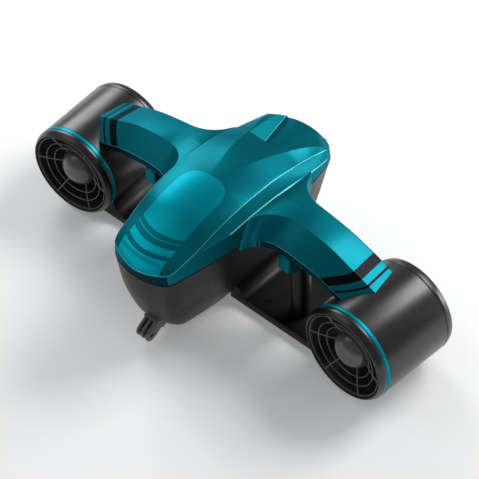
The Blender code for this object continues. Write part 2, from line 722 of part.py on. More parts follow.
def make_rotor(side, frame):
    """Spinning parts: propeller, nut, and the shaft with its rotor."""
    low, high = PROP_Y
    name = side_name(side, "propeller")
    bore = SHAFT_R + GAP
    hub = [
        (PROP_HUB_R - 1.5, high), (PROP_HUB_R, high - 2), (PROP_HUB_R, low + 2), (PROP_HUB_R - 1.5, low), (bore, low),
        (bore, high),
    ]
    propeller = turned(name, hub, "black_plastic", frame, HUB_SEGMENTS)
    for index in range(BLADES):
        mesh = blade_mesh("blade", (12.0, PROP_R), sum(PROP_Y) / 2, 19.0, (side * 50.0, side * 24.0), 1.6)
        blade = add_object("%s_blade_%d" % (name, index), mesh, None, frame)
        blade.rotation_euler = (0, 0, 2 * math.pi * index / BLADES)
        boolean(propeller, blade, "UNION")
    outline = [(0, high + 5), (bore, high + 5), (bore, low - 5), (0, low - 5)]
    boolean(propeller, turned(name + "_bore", outline, None, frame, SMALL_SEGMENTS))

    face = low - GAP
    nut = [(NUT_R, face), (NUT_R, low - 2.0), (bore + 0.6, low - 2.0), (bore + 0.6, face)]
    turned(side_name(side, "propeller_nut"), nut, "steel", frame, 6)

    start, end = MAGNET_Y
    shaft = [
        (0, 72), (SHAFT_R, 72), (SHAFT_R, end), (MAGNET_R, end), (MAGNET_R, start), (SHAFT_R, start), (SHAFT_R, 8.2),
        (0, 8.2),
    ]
    turned(side_name(side, "rotor_shaft"), shaft, "steel", frame, SMALL_SEGMENTS)


def make_motor(side, frame):
    """Fixed parts behind the propeller: pod with vanes, winding, bearings and seal."""
    low, high = POD_Y
    name = side_name(side, "motor_pod")
    wall, step = 14.5, 10.3
    outside = [(4.0, high + 1), (9.0, high), (14.5, high - 8), (POD_R, high - 18), (POD_R, low + 3), (POD_R - 2, low)]
    inside = [
        (wall - 1.5, low), (wall - 1.5, low + 5), (wall, low + 5), (wall, high - 16), (step, high - 10),
        (step, high - 4), (4.0, high - 3),
    ]
    body = turned(name, outside + inside, "black_plastic", frame, HUB_SEGMENTS)
    for index in range(VANES):
        mesh = blade_mesh("vane", (POD_R - 1.5, BORE_R - 0.4), 52.0, 26.0, (-side * 78.0, -side * 84.0), 1.4)
        vane = add_object("%s_vane_%d" % (name, index), mesh, None, frame)
        vane.rotation_euler = (0, 0, math.radians(90) + 2 * math.pi * index / VANES)
        boolean(body, vane, "UNION")

    winding = [(13.8, 63.5), (13.8, 44.5), (8.6, 44.5), (8.6, 63.5)]
    turned(side_name(side, "motor_winding"), winding, "copper", frame, HUB_SEGMENTS)
    bore = SHAFT_R + GAP
    for label, start, end, outer, finish in SHAFT_RINGS:
        ring = [(outer, end), (outer, start), (bore, start), (bore, end)]
        turned(side_name(side, label), ring, finish, frame, SMALL_SEGMENTS)


def make_side(side, hull_cutters):
    frame = thruster_frame(side)
    duct = [(0, 95), (DUCT_R + 0.35, 95), (DUCT_R + 0.35, -30), (0, -30)]
    duct_cutter = turned(side_name(side, "duct_clearance"), duct, None, frame)
    walls = sorted((side * (TRIGGER_X[0] - 1), side * (TRIGGER_X[1] + 1)))
    slot_name = side_name(side, "trigger_slot")
    slot = add_object(slot_name, box_mesh(slot_name, (walls[0], -2, 18), (walls[1], 22.5, 60.5)))
    make_arm(side, duct_cutter, hull_cutters, slot)
    make_wing(side, duct_cutter, hull_cutters, slot)
    make_trigger(side)
    make_motor_cable(side)
    make_duct(side, frame)
    make_guard(side, frame)
    make_rotor(side, frame)
    make_motor(side, frame)


clear_scene()
parts = new_collection("underwater_scooter")
cutters = new_collection("cutters")
root = bpy.data.objects.new("ground_frame", None)
parts.objects.link(root)
root.location = Vector(DATUM) * MM

tub = make_hull()
make_hull_contents()
make_tail_fittings(tub)
tub_clearance = add_object("tub_clearance", tub_mesh("tub_clearance", inset=-0.35, lift=-0.35))
canopy_clearance = add_object("canopy_clearance", canopy_mesh("canopy_clearance", inset=-0.35, bottom=HEM_Z - 1.5))
make_camera_mount(tub_clearance)
for hand in (1, -1):
    make_side(hand, [canopy_clearance, tub_clearance])
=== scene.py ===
"""Underwater scooter: fine skins, paint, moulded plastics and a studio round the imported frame.

Points are given in millimetres in the design frame, with X to the right, +Y to the tail and +Z up. Its
origin lies between the thrusters at the height of their axes. Each thruster has a frame of its own, whose Z
runs astern along its axis.
"""

import json
import math

import bmesh
import bpy
import numpy as np
from mathutils import Matrix, Vector
from mathutils.kdtree import KDTree


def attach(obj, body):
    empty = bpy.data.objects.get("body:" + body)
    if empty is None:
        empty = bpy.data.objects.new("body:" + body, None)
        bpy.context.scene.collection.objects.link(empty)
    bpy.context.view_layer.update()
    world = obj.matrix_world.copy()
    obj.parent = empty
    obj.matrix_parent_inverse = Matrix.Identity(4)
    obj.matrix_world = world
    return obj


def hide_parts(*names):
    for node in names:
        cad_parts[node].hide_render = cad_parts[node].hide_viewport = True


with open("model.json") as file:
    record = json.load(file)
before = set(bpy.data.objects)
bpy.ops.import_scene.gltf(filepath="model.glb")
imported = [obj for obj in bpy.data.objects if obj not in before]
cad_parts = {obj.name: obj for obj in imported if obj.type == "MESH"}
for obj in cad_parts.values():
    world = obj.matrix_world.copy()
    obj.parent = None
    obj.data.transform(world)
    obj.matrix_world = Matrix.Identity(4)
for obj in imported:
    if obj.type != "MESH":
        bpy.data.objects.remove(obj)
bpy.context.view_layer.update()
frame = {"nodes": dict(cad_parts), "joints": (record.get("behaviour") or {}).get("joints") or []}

MM = 0.001
SIDES = ((1, "right_"), (-1, "left_"))
BODY = "scooter_body"
JOINTS = {joint["name"]: joint for joint in frame["joints"]}
HUB = Vector(JOINTS["right_propeller_spin"]["pos_m"])
DESIGN = Matrix.Translation((0, HUB.y, HUB.z)) @ Matrix.Scale(MM, 4)

# Hull outlines from nose to tail, right half: the crease round the deck, and the canopy's hem.
CREASE = [
    (0, -114.3, 65.5), (10, -113.6, 66.7), (20, -111.4, 68.4), (27, -108.7, 70.3), (34.2, -104, 71.3),
    (37.4, -98, 72.8), (38.8, -92, 75.1), (40, -80, 78.9), (41.2, -68, 82.4), (42.5, -50, 89.5),
    (43.1, -32, 94.1), (43.1, -15, 96.6), (43, 0, 97.6), (42.8, 30, 97.6), (42.3, 50, 95.6),
    (41.6, 68, 91.8), (40.6, 80, 88.4), (40.2, 88, 86.3), (40, 104, 82.1), (39.9, 120, 77.2),
    (39, 128.5, 73.6), (36.5, 134.5, 71.2), (28, 140, 70.8), (14, 143.6, 73.5), (0, 144.5, 74.5),
]
HEM_Z = 58.5
HEM = [(x, y, HEM_Z) for x, y in (
    (0, -115), (10, -114.3), (20, -112), (27, -109.3), (34.6, -104.4), (37.9, -98), (39.5, -92),
    (41.8, -80), (44.2, -68), (47.6, -50), (50.2, -32), (50.6, -15), (50.6, 0), (50.4, 30), (50.2, 50),
    (50, 68), (49.6, 80), (49.2, 88), (47.6, 104), (44.5, 119), (42, 128), (37.8, 135.5), (28.6, 141.2),
    (14.3, 144.6), (0, 145.5),
)]
# The side band's lower edge where the arm leaves it, by outline index: x and z.
GIRDLE = {
    7: (40.8, 76), 8: (42.8, 80), 9: (46.7, 81.3), 10: (50.3, 82.7), 11: (50.7, 84.4), 12: (50.9, 85.1),
    13: (50.2, 83.8), 14: (49.9, 81.4), 15: (49.5, 78.6), 16: (49.4, 76.6), 17: (49.1, 75.2), 18: (47.5, 72),
    19: (44.5, 67.5),
}
NOSE_CORNER = 4
TAIL_CORNER = 20
# From the nose corner to the tail corner: the crown's height above the crease, and how far it runs ahead.
CROWN = [-5.8, 6, 7.5, 8.5, 9.5, 9.5, 8.5, 7.8, 7.2, 7, 6.8, 6.4, 6, 5.8, 5, 3, 0.9]
LEAD = [10.3, 9, 8.2, 6.5, 5, 3, 1, 0, 0, 0, -0.5, -1.5, -3, -5.5, -9.5, -13, -16]
# The fold between the flat tail deck and its shoulders: y and half-width.
FOLD = [
    (-8, 2), (0, 4), (16, 8.5), (38, 14.8), (53, 18.3), (69, 21.5), (84, 25), (102, 31), (120, 36.5),
    (132, 38),
]
# Where the deck's points gather to the fold, and where the dome turns into a flat deck: start y and run.
GATHER_Y = (-40, 35)
RAMP_Y = (-5, 40)
LOOP_STEPS = 12
FOLD_COLUMN = 12
# The ledge along the side band's lower edge: the share of the band where it starts, how far it stands out,
# the stretch painted as a highlight line by outline index, and how near its middle line a face's centre lies
# to be painted so.
LEDGE_SHARE = 0.93
LEDGE_WIDTH = 0.5
LEDGE_RUN = (10.0, 19.2)
LEDGE_REACH = 0.2
CREASE_BEVEL = 0.3
CANOPY_SHARP = 9

# Tub contours: height, and the hem's scale across, ahead and astern.
TUB_TOP_Z = 57.2
KEEL_Z = -56.0
TUB_LEVELS = [
    (TUB_TOP_Z, 1.0, 1.0, 1.0), (40, 0.93, 0.99, 0.985), (20, 0.86, 0.965, 0.965), (0, 0.78, 0.915, 0.945),
    (-15, 0.72, 0.86, 0.92), (-30, 0.62, 0.765, 0.88), (-40, 0.53, 0.69, 0.83), (-47, 0.45, 0.625, 0.79),
    (-53, 0.36, 0.56, 0.75), (KEEL_Z, 0.27, 0.5, 0.7),
]

# Tail recess, at its front and rear ends: SCOOP_FLOOR is the right ridge's ends, SCOOP_RISE its walls' lean,
# SCOOP_STEP how far inside and below the ridge the floor starts. SCOOP_CROWN is the floor's bulge, and
# SCOOP_REACH how far the cutter's walls run on, as a multiple of SCOOP_RISE.
SCOOP_FLOOR = ((11.9, 90.5, 79.0), (27.2, 148.5, 72.3))
SCOOP_CROWN = 2.2
SCOOP_RISE = (Vector((9.0, -10.6, 14.0)), Vector((0.5, -3.0, 14.0)))
SCOOP_STEP = ((0.6, 3.4), (0.5, 4.4))
SCOOP_REACH = 1.8

# The nose's chin, darkened with painted shade: how far ahead it starts, its upper edge's height amidships
# and rise outwards, and the upward slope that its faces stay under.
CHIN_Y = 103.5
CHIN_Z = 65.3
CHIN_RISE = 0.15
CHIN_SLOPE = 0.4

# Arm stations: x, front y, rear y, bottom z, lip top z, crease y, crease z, rear top z.
ARM = [
    (44, -19, 94, 48.5, 58.5, -9, 85.4, 75.5), (50.5, -17, 90, 48.8, 58.8, -4, 84.6, 76),
    (56, -7, 78, 49.5, 58.5, 8, 83.4, 78), (62, -3, 70, 50.5, 59, 16, 81.8, 79.2),
    (70, 0, 64, 52.5, 61, 22, 80.2, 79.6), (81, 1.6, 60.5, 54.3, 62, 25.3, 79.2, 79),
    (100, 1.6, 60, 53.8, 61.5, 25.3, 79.2, 76), (128, 1.6, 60, 50, 57.5, 25.3, 74.7, 70),
    (158, 1.4, 60, 42.4, 47.5, 25.3, 62.8, 59.6), (186.3, 1, 60, 34, 37, 25.3, 51.6, 48),
    (200, 0.8, 60, 29.5, 31.2, 25.3, 45.2, 41.4),
]
ARM_END_X = 186.3
ARM_WALL = 3.0
# The arm's lip, in painted shade, and the rounding above it, in a painted highlight, by how their faces look
# forward and up.
LIP_FORWARD = 0.9
LIP_EDGE_FORWARD = 0.66
LIP_EDGE_UP = 0.3
LIP_EDGE_X = 69.0

# Wing and grip.
WING_Y = (0.0, 72.0)
WING_TOP_Z = -46.0
WING_X = (22.0, 172.0)
HULL_FILLET = (44.5, 11.0)
DUCT_FILLET = (131.0, 15.0)
GRIP_BOTTOM = Vector((94.5, 27.0, -52.0))
GRIP_TOP = Vector((91.5, 25.0, 62.0))
GRIP_HALF = (9.6, 11.0)
SCREW_SPOTS = ((61.0, 13.0), (132.0, 13.0))
TRIGGER_BORE_R = 1.8

# Tail fittings: height, radius, and the station of the tail's face there.
TAIL_FITTINGS = ((34.0, 8.0, 142.5), (12.0, 6.5, 139.2))

# Camera mount.
CLAMP_YZ = (-101.5, -39.0)
CLAMP_TILT = math.radians(34)
CLAMP_R = 7.5
CLAMP_HOLE_R = 2.6
FINGER_X = (-6.2, 0.0, 6.2)

# Thruster.
DUCT_R = 52.0
DUCT_GAP = 0.35
BORE_R = 46.5
LIP_R = 48.4
DOME_R = 20.5
DOME_Y = -7.0
DOME_HEIGHT = 15.4
GUARD_R = 45.0
GUARD_Y = -20.0
GUARD_SINK = 10.0
GUARD_RINGS = (36.3, 28.4)


# Shapes.


def refined(rows, steps, closed=False):
    """Points on a Catmull-Rom curve through every row given."""
    rows = [np.array(row, float) for row in rows]
    count = len(rows)
    fine = []
    for index in range(count if closed else count - 1):
        near = []
        for offset in (-1, 0, 1, 2):
            place = (index + offset) % count if closed else min(max(index + offset, 0), count - 1)
            near.append(rows[place])
        a, b, c, d = near
        for step in range(steps):
            t = step / steps
            fine.append(0.5 * (2 * b + (c - a) * t + (2 * a - 5 * b + 4 * c - d) * t ** 2
                               + (3 * b - a - 3 * c + d) * t ** 3))
    if not closed:
        fine.append(rows[-1])
    return fine


def rounded(corners, steps=5, closed=True):
    """Outline through corners (u, v, radius), with each corner turned into a smooth bend."""
    outline = []
    for index, (u, v, radius) in enumerate(corners):
        here = Vector((u, v))
        if radius == 0 or (not closed and index in (0, len(corners) - 1)):
            outline.append(here)
            continue
        before = Vector(corners[index - 1][:2]) - here
        after = Vector(corners[(index + 1) % len(corners)][:2]) - here
        cut = radius / math.tan(before.angle(after) / 2)
        start = here + before.normalized() * min(cut, before.length * 0.49)
        end = here + after.normalized() * min(cut, after.length * 0.49)
        for step in range(steps + 1):
            t = step / steps
            outline.append(start * (1 - t) ** 2 + here * (2 * t * (1 - t)) + end * t ** 2)
    return outline


def placed(name, data):
    """New object in the scene."""
    made = bpy.data.objects.new(name, data)
    bpy.context.scene.collection.objects.link(made)
    return made


def made_object(name, points, faces, matrix=DESIGN, sharp=35):
    """Object from points in millimetres in the frame given, with its faces turned outwards."""
    mesh = bpy.data.meshes.new(name)
    mesh.from_pydata([matrix @ Vector(p) for p in points], [], faces)
    shape = bmesh.new()
    shape.from_mesh(mesh)
    bmesh.ops.remove_doubles(shape, verts=shape.verts, dist=0.000002)
    bmesh.ops.recalc_face_normals(shape, faces=shape.faces)
    if shape.calc_volume(signed=True) < 0:
        bmesh.ops.reverse_faces(shape, faces=shape.faces)
    shape.to_mesh(mesh)
    shape.free()
    made = placed(name, mesh)
    smooth(made, sharp)
    return made


def smooth(piece, sharp=35):
    piece.data.shade_smooth()
    piece.data.set_sharp_from_angle(angle=math.radians(sharp))


def ring_faces(count, levels, start=0):
    faces = []
    for level in range(levels - 1):
        low = start + level * count
        for side in range(count):
            following = (side + 1) % count
            faces.append((low + side, low + following, low + count + following, low + count + side))
    return faces


def lofted(name, rings, matrix=DESIGN, sharp=35):
    """Closed skin over a stack of rings that have the same number of points."""
    count = len(rings[0])
    points = [p for ring in rings for p in ring]
    caps = [tuple(range(count)), tuple(range(len(points) - count, len(points)))]
    return made_object(name, points, caps + ring_faces(count, len(rings)), matrix, sharp)


def turned(name, outline, matrix, segments=96, closed=True):
    """Solid turned about the frame's Z from (radius, station) points, closed on itself or at the axis."""
    points = []
    for radius, station in outline:
        for step in range(segments):
            angle = 2 * math.pi * step / segments
            points.append((radius * math.cos(angle), radius * math.sin(angle), station))
    faces = ring_faces(segments, len(outline))
    if closed:
        last = (len(outline) - 1) * segments
        for side in range(segments):
            following = (side + 1) % segments
            faces.append((last + side, last + following, following, side))
    return made_object(name, points, faces, matrix)


def settle(piece):
    """Apply a piece's modifiers, and drop faces without area."""
    graph = bpy.context.evaluated_depsgraph_get()
    mesh = bpy.data.meshes.new_from_object(piece.evaluated_get(graph))
    shape = bmesh.new()
    shape.from_mesh(mesh)
    bmesh.ops.dissolve_degenerate(shape, dist=0.001 * MM, edges=shape.edges)
    shape.to_mesh(mesh)
    shape.free()
    piece.modifiers.clear()
    piece.data = mesh


def combine(piece, other):
    """Cut a piece by another solid, and use the other up."""
    modifier = piece.modifiers.new("combine", "BOOLEAN")
    modifier.operation = "DIFFERENCE"
    modifier.solver = "EXACT"
    modifier.object = other
    settle(piece)
    bpy.data.objects.remove(other, do_unlink=True)


def tube(name, path, radius, matrix):
    """Round bar along a path of points, with flat ends."""
    sides = 10
    path = [Vector(p) for p in path]
    rings = []
    for index, place in enumerate(path):
        along = (path[min(index + 1, len(path) - 1)] - path[max(index - 1, 0)]).normalized()
        side = along.orthogonal() if index == 0 else side - along * side.dot(along)
        side.normalize()
        up = along.cross(side)
        angles = [2 * math.pi * step / sides for step in range(sides)]
        rings.append([place + side * radius * math.cos(a) + up * radius * math.sin(a)
                      for a in angles])
    return lofted(name, rings, matrix, 60)


def joined(name, pieces):
    """One object from several separate solids."""
    shape = bmesh.new()
    for piece in pieces:
        shape.from_mesh(piece.data)
    mesh = bpy.data.meshes.new(name)
    shape.to_mesh(mesh)
    shape.free()
    made = placed(name, mesh)
    for piece in pieces:
        bpy.data.objects.remove(piece, do_unlink=True)
    smooth(made, 40)
    return made


def thruster_matrix(side, prefix):
    """Frame on a thruster's axis: Z astern, Y down."""
    joint = JOINTS[prefix + "propeller_spin"]
    astern = Vector(joint["axis"]).normalized()
    down = Vector((0, 0, -1))
    across = down.cross(astern).normalized()
    turn = Matrix((across, down, astern)).transposed().to_4x4()
    return Matrix.Translation(joint["pos_m"]) @ turn @ Matrix.Scale(MM, 4)


# Materials.


class Finish:
    """A material whose node graph is built a call at a time."""

    def __init__(self, name, **values):
        self.material = bpy.data.materials.new(name)
        self.material.use_nodes = True
        self.tree = self.material.node_tree
        self.shader = self.tree.nodes["Principled BSDF"]
        for socket, value in values.items():
            self.shader.inputs[socket.replace("_", " ")].default_value = value
        place = self.node("ShaderNodeTexCoord").outputs["Object"]
        self.place = place

    def node(self, kind, *values, **settings):
        made = self.tree.nodes.new(kind)
        for setting, value in settings.items():
            setattr(made, setting, value)
        for index, value in enumerate(values):
            self.feed(made.inputs[index], value)
        return made

    def feed(self, socket, value):
        if isinstance(value, bpy.types.NodeSocket):
            self.tree.links.new(value, socket)
        elif value is not None:
            socket.default_value = value

    def math(self, operation, *values):
        return self.node("ShaderNodeMath", *values, operation=operation).outputs[0]

    def noise(self, scale, detail=2.0, roughness=0.5, stretch=None):
        place = self.place
        if stretch:
            place = self.node("ShaderNodeVectorMath", place, stretch, operation="MULTIPLY").outputs[0]
        made = self.node("ShaderNodeTexNoise", place)
        made.inputs["Scale"].default_value = scale
        made.inputs["Detail"].default_value = detail
        made.inputs["Roughness"].default_value = roughness
        return made.outputs["Fac"]

    def scaled(self, value, low, high):
        """A value's middle half, spread between two limits."""
        made = self.node("ShaderNodeMapRange", value, 0.25, 0.75, low, high)
        return made.outputs[0]

    def mix(self, share, first, second):
        made = self.node("ShaderNodeMix", data_type="RGBA")
        self.feed(made.inputs[0], share)
        self.feed(made.inputs[6], first)
        self.feed(made.inputs[7], second)
        return made.outputs[2]

    def brightened(self, colour, factor):
        made = self.node("ShaderNodeHueSaturation")
        self.feed(made.inputs["Value"], factor)
        self.feed(made.inputs["Color"], colour)
        return made.outputs[0]

    def bump(self, height, distance, strength=1.0):
        made = self.node("ShaderNodeBump")
        made.inputs["Strength"].default_value = strength
        made.inputs["Distance"].default_value = distance
        self.feed(made.inputs["Height"], height)
        self.feed(self.shader.inputs["Normal"], made.outputs[0])

    def surface(self, colour, roughness):
        self.feed(self.shader.inputs["Base Color"], colour)
        self.feed(self.shader.inputs["Roughness"], roughness)

    def axes(self):
        """Design-frame X, Y and Z in millimetres."""
        centred = self.node("ShaderNodeVectorMath", self.place, tuple(DESIGN.translation),
                            operation="SUBTRACT")
        scaled = self.node("ShaderNodeVectorMath", centred.outputs[0], (1000, 1000, 1000),
                           operation="MULTIPLY")
        return self.node("ShaderNodeSeparateXYZ", scaled.outputs[0]).outputs

    def between(self, value, low, high):
        """1 where the value lies between the limits."""
        above = self.math("GREATER_THAN", value, low)
        below = self.math("LESS_THAN", value, high)
        return self.math("MULTIPLY", above, below)


TEAL = (0.002, 0.150, 0.192, 1)
PANEL_TEAL = (0.001, 0.27, 0.35, 1)
PAINTED_LIGHT_TEAL = (0.001, 0.52, 0.64, 1)
PAINTED_SHADE_TEAL = (0.001, 0.016, 0.024, 1)
BAND_BLACK = (0.008, 0.007, 0.008, 1)
PAINT = {
    "Metallic": 0.75, "Specular_IOR_Level": 0.08, "Specular_Tint": (0.2, 0.85, 0.95, 1),
    "Coat_Weight": 0.02, "Coat_Roughness": 0.15,
}
# Nose panels: their half-width, how far their middles bow ahead, and front and rear y before bowing. The last
# one is open to the tail, where it rounds off. They lie above PANEL_Z, and painted light brightens them
# towards the nose.
PANEL_HALF = 27.0
PANEL_BOW = 9.2
PANELS = ((-108.4, -95.0), (-90.2, -82.6), (-76.4, -75.4))
LAST_PANEL_Y = -70.4
LAST_PANEL_POWER = 2.7
PANEL_Z = 64.5
PAINTED_LIGHT_AHEAD = 150.0
PAINTED_LIGHT_RUN = 130.0
# Arm bands: the crease's y, the depth of the facet before and behind it, how far the bands sweep over each,
# and the bands' reach from the middle.
BAND_CREASE_Y = 25.3
BAND_FACETS = (23.7, 34.7)
BAND_SWEEP = (23.0, 2.2)
BANDS = ((157.7, 168.1), (175.0, 177.4))


def paint_detail(finish, colour, flake=0.06):
    """Metallic paint: fine flakes, a slow drift in tone, and a little orange peel."""
    flakes = finish.scaled(finish.noise(5200, 1.0), 1 - flake, 1 + flake)
    drift = finish.scaled(finish.noise(14, 2.0), 0.95, 1.05)
    colour = finish.brightened(colour, finish.math("MULTIPLY", flakes, drift))
    finish.surface(colour, finish.scaled(finish.noise(900, 3.0), 0.36, 0.44))
    finish.bump(finish.noise(700, 2.0), 0.00004, 0.35)
    return finish.material


def hull_paint():
    """Canopy paint: lighter panels on the nose between three arched stripes, and painted light near its tip.
    """
    finish = Finish("hull_paint", **PAINT)
    x, y, z = finish.axes()
    across = finish.math("DIVIDE", finish.math("ABSOLUTE", x), PANEL_HALF)
    bow = finish.math("SUBTRACT", 1.0, finish.math("POWER", across, 2.0))
    along = finish.math("ADD", y, finish.math("MULTIPLY", bow, PANEL_BOW))
    beside = finish.math("LESS_THAN", across, 1.0)
    tail_run = finish.math("DIVIDE", finish.math("ADD", y, PANEL_HALF), PANEL_HALF)
    tail_run = finish.math("MAXIMUM", tail_run, 0.0)
    powers = [finish.math("POWER", run, LAST_PANEL_POWER) for run in (across, tail_run)]
    rounded_off = finish.math("LESS_THAN", finish.math("ADD", *powers), 1.0)
    panels = finish.math("MULTIPLY", finish.math("GREATER_THAN", along, LAST_PANEL_Y), rounded_off)
    for low, high in PANELS:
        panels = finish.math("MAXIMUM", panels, finish.between(along, low, high))
    on_top = finish.math("GREATER_THAN", z, PANEL_Z)
    # Painted light: the panels are coloured lighter towards the nose.
    painted_light = finish.math("DIVIDE", finish.math("ADD", y, PAINTED_LIGHT_AHEAD), PAINTED_LIGHT_RUN)
    mask = finish.math("MULTIPLY", finish.math("MULTIPLY", panels, beside), on_top)
    panel = finish.mix(finish.scaled(painted_light, 1.0, 0.0), PANEL_TEAL, PAINTED_LIGHT_TEAL)
    return paint_detail(finish, finish.mix(mask, TEAL, panel))


def arm_paint():
    """Arm paint: a wide and a thin black band before the thruster, swept back over the front facet."""
    finish = Finish("arm_paint", **PAINT)
    x, y = finish.axes()[:2]
    front = finish.math("DIVIDE", finish.math("SUBTRACT", BAND_CREASE_Y, y), BAND_FACETS[0])
    front = finish.math("POWER", finish.math("MAXIMUM", front, 0.0), 1.25)
    rear = finish.math("DIVIDE", finish.math("SUBTRACT", y, BAND_CREASE_Y), BAND_FACETS[1])
    rear = finish.math("MAXIMUM", rear, 0.0)
    sweeps = [finish.math("MULTIPLY", *pair) for pair in zip((front, rear), BAND_SWEEP)]
    reach = finish.math("ADD", finish.math("ABSOLUTE", x), finish.math("ADD", *sweeps))
    bands = [finish.between(reach, *limits) for limits in BANDS]
    return paint_detail(finish, finish.mix(finish.math("MAXIMUM", *bands), TEAL, BAND_BLACK))


def teal_paint(name, colour=TEAL, lightening=0.15):
    finish = Finish(name, **PAINT)
    share = finish.scaled(finish.noise(40), 0, lightening)
    return paint_detail(finish, finish.mix(share, colour, PANEL_TEAL))


def plastic(name, colour, roughness=(0.36, 0.46), grain=0.00003, **values):
    """Moulded plastic: fine spark-eroded grain with a slow drift in gloss."""
    finish = Finish(name, **values)
    light = tuple(min(1.0, c * 1.25) for c in colour[:3]) + (1,)
    speckle = finish.scaled(finish.noise(2600), 0, 1)
    gloss = finish.scaled(finish.noise(60, 4.0), *roughness)
    finish.surface(finish.mix(speckle, colour, light), gloss)
    finish.bump(finish.noise(3200, 3.0), grain, 0.5)
    return finish.material


def duct_plastic():
    """Satin black outside; matt inside the duct, where the water runs, and darker there as painted shade."""
    finish = Finish("duct_plastic", Specular_IOR_Level=0.72)
    x, y, z = finish.axes()
    astern = JOINTS["right_propeller_spin"]["axis"]
    from_axis = finish.math("SUBTRACT", finish.math("ABSOLUTE", x), HUB.x / MM)
    from_axis = finish.math("MULTIPLY", from_axis, astern[1])
    from_axis = finish.math("SUBTRACT", from_axis, finish.math("MULTIPLY", y, astern[0]))
    reach = finish.math("ADD", finish.math("POWER", from_axis, 2.0), finish.math("POWER", z, 2.0))
    inside = finish.math("LESS_THAN", reach, (LIP_R - 0.3) ** 2)
    speckle = finish.scaled(finish.noise(2600), 0.85, 1.15)
    # Painted shade: the bore is coloured darker than the outside.
    shade = finish.mix(inside, (0.005, 0.005, 0.0052, 1), (0.002, 0.002, 0.002, 1))
    gloss = finish.scaled(finish.noise(60, 4.0), 0.27, 0.34)
    roughness = finish.math("ADD", gloss, finish.math("MULTIPLY", inside, 0.4))
    finish.surface(finish.brightened(shade, speckle), roughness)
    finish.bump(finish.noise(3200, 3.0), 0.00002, 0.5)
    return finish.material


def metal(name, colour, roughness=(0.22, 0.36), stretch=(1, 60, 1)):
    """Brushed or drawn metal, with lines along one axis."""
    finish = Finish(name, Metallic=1.0)
    lines = finish.noise(500, 3.0, stretch=stretch)
    dark = tuple(c * 0.75 for c in colour[:3]) + (1,)
    shade = finish.mix(finish.scaled(lines, 0, 1), dark, colour)
    finish.surface(shade, finish.scaled(lines, *roughness))
    finish.bump(lines, 0.00002, 0.4)
    return finish.material


def winding_wire():
    """Enamelled copper, wound in turns round the motor."""
    finish = Finish("winding_wire", Metallic=1.0)
    turns = finish.node("ShaderNodeTexWave", finish.place)
    turns.inputs["Scale"].default_value = 900
    turns.inputs["Distortion"].default_value = 1.5
    shade = finish.mix(turns.outputs["Fac"], (0.2, 0.07, 0.03, 1), (0.62, 0.27, 0.12, 1))
    finish.surface(shade, finish.scaled(finish.noise(400), 0.25, 0.4))
    finish.bump(turns.outputs["Fac"], 0.0002, 0.6)
    return finish.material


def circuit_board():
    """Green solder mask with lighter tracks under it."""
    finish = Finish("circuit_board", Roughness=0.4)
    cells = finish.node("ShaderNodeTexBrick", finish.place)
    cells.inputs["Scale"].default_value = 260
    cells.inputs["Mortar Size"].default_value = 0.03
    cells.inputs["Color1"].default_value = (0.004, 0.07, 0.03, 1)
    cells.inputs["Color2"].default_value = (0.006, 0.09, 0.035, 1)
    cells.inputs["Mortar"].default_value = (0.05, 0.22, 0.08, 1)
    speckle = finish.scaled(finish.noise(1500), 0.85, 1.15)
    shade = finish.brightened(cells.outputs["Color"], speckle)
    finish.surface(shade, finish.scaled(finish.noise(200), 0.3, 0.5))
    finish.bump(cells.outputs["Fac"], 0.00005, 0.5)
    return finish.material


def cell_wrap():
    """Blue shrink wrap drawn tight over rows of round cells."""
    finish = Finish("cell_wrap", Coat_Weight=0.3)
    rows = finish.node("ShaderNodeTexWave", finish.place, bands_direction="Y")
    rows.inputs["Scale"].default_value = 17
    shade = finish.mix(rows.outputs["Fac"], (0.006, 0.02, 0.09, 1), (0.012, 0.045, 0.2, 1))
    drift = finish.scaled(finish.noise(90), 0.9, 1.1)
    finish.surface(finish.brightened(shade, drift), finish.scaled(finish.noise(300, 4.0), 0.25, 0.4))
    finish.bump(rows.outputs["Fac"], 0.0012, 0.6)
    return finish.material


# Hull.


def half_to_loop(half):
    return list(half) + [(-p[0], *p[1:]) for p in reversed(half[1:-1])]


def hull_loop(half):
    return refined(half_to_loop(half), LOOP_STEPS, closed=True)


def girdle_half():
    half = []
    for index, (top, low) in enumerate(zip(CREASE, HEM)):
        if index in GIRDLE:
            half.append((GIRDLE[index][0], top[1], GIRDLE[index][1]))
        else:
            half.append(tuple((a + b) / 2 for a, b in zip(top, low)))
    return half


def outward(loop, index):
    """Level direction out of a loop at a point."""
    ahead = loop[(index + 1) % len(loop)] - loop[index - 1]
    return np.array([ahead[1], -ahead[0], 0]) / np.linalg.norm(ahead[:2])


def fold_x(y):
    places = [p[0] for p in FOLD]
    return float(np.interp(y, places, [p[1] for p in FOLD]))


def deck_columns(natural, fold, share):
    """Shares of the half-width for a row's points: gathered at the fold, or as the end loops have them."""
    gathered = []
    for column in range(len(natural)):
        if column <= FOLD_COLUMN:
            gathered.append(fold + (1 - fold) * (1 - column / FOLD_COLUMN) ** 1.5)
        else:
            inner = (column - FOLD_COLUMN) / (len(natural) - 1 - FOLD_COLUMN)
            gathered.append(fold * (1 - inner ** 1.5))
    return [a + (b - a) * share for a, b in zip(natural, gathered)]


def deck_height(across, fold, ramp):
    """Share of the crown's height: a dome at the nose, a flat top between sloping shoulders at the tail."""
    dome = 1 - across ** 2.2
    if across < fold:
        flat = 1 - 0.05 * (across / fold) ** 2
    else:
        flat = 0.95 * (1 - ((across - fold) / (1 - fold)) ** 1.02)
    return dome + (flat - dome) * ramp


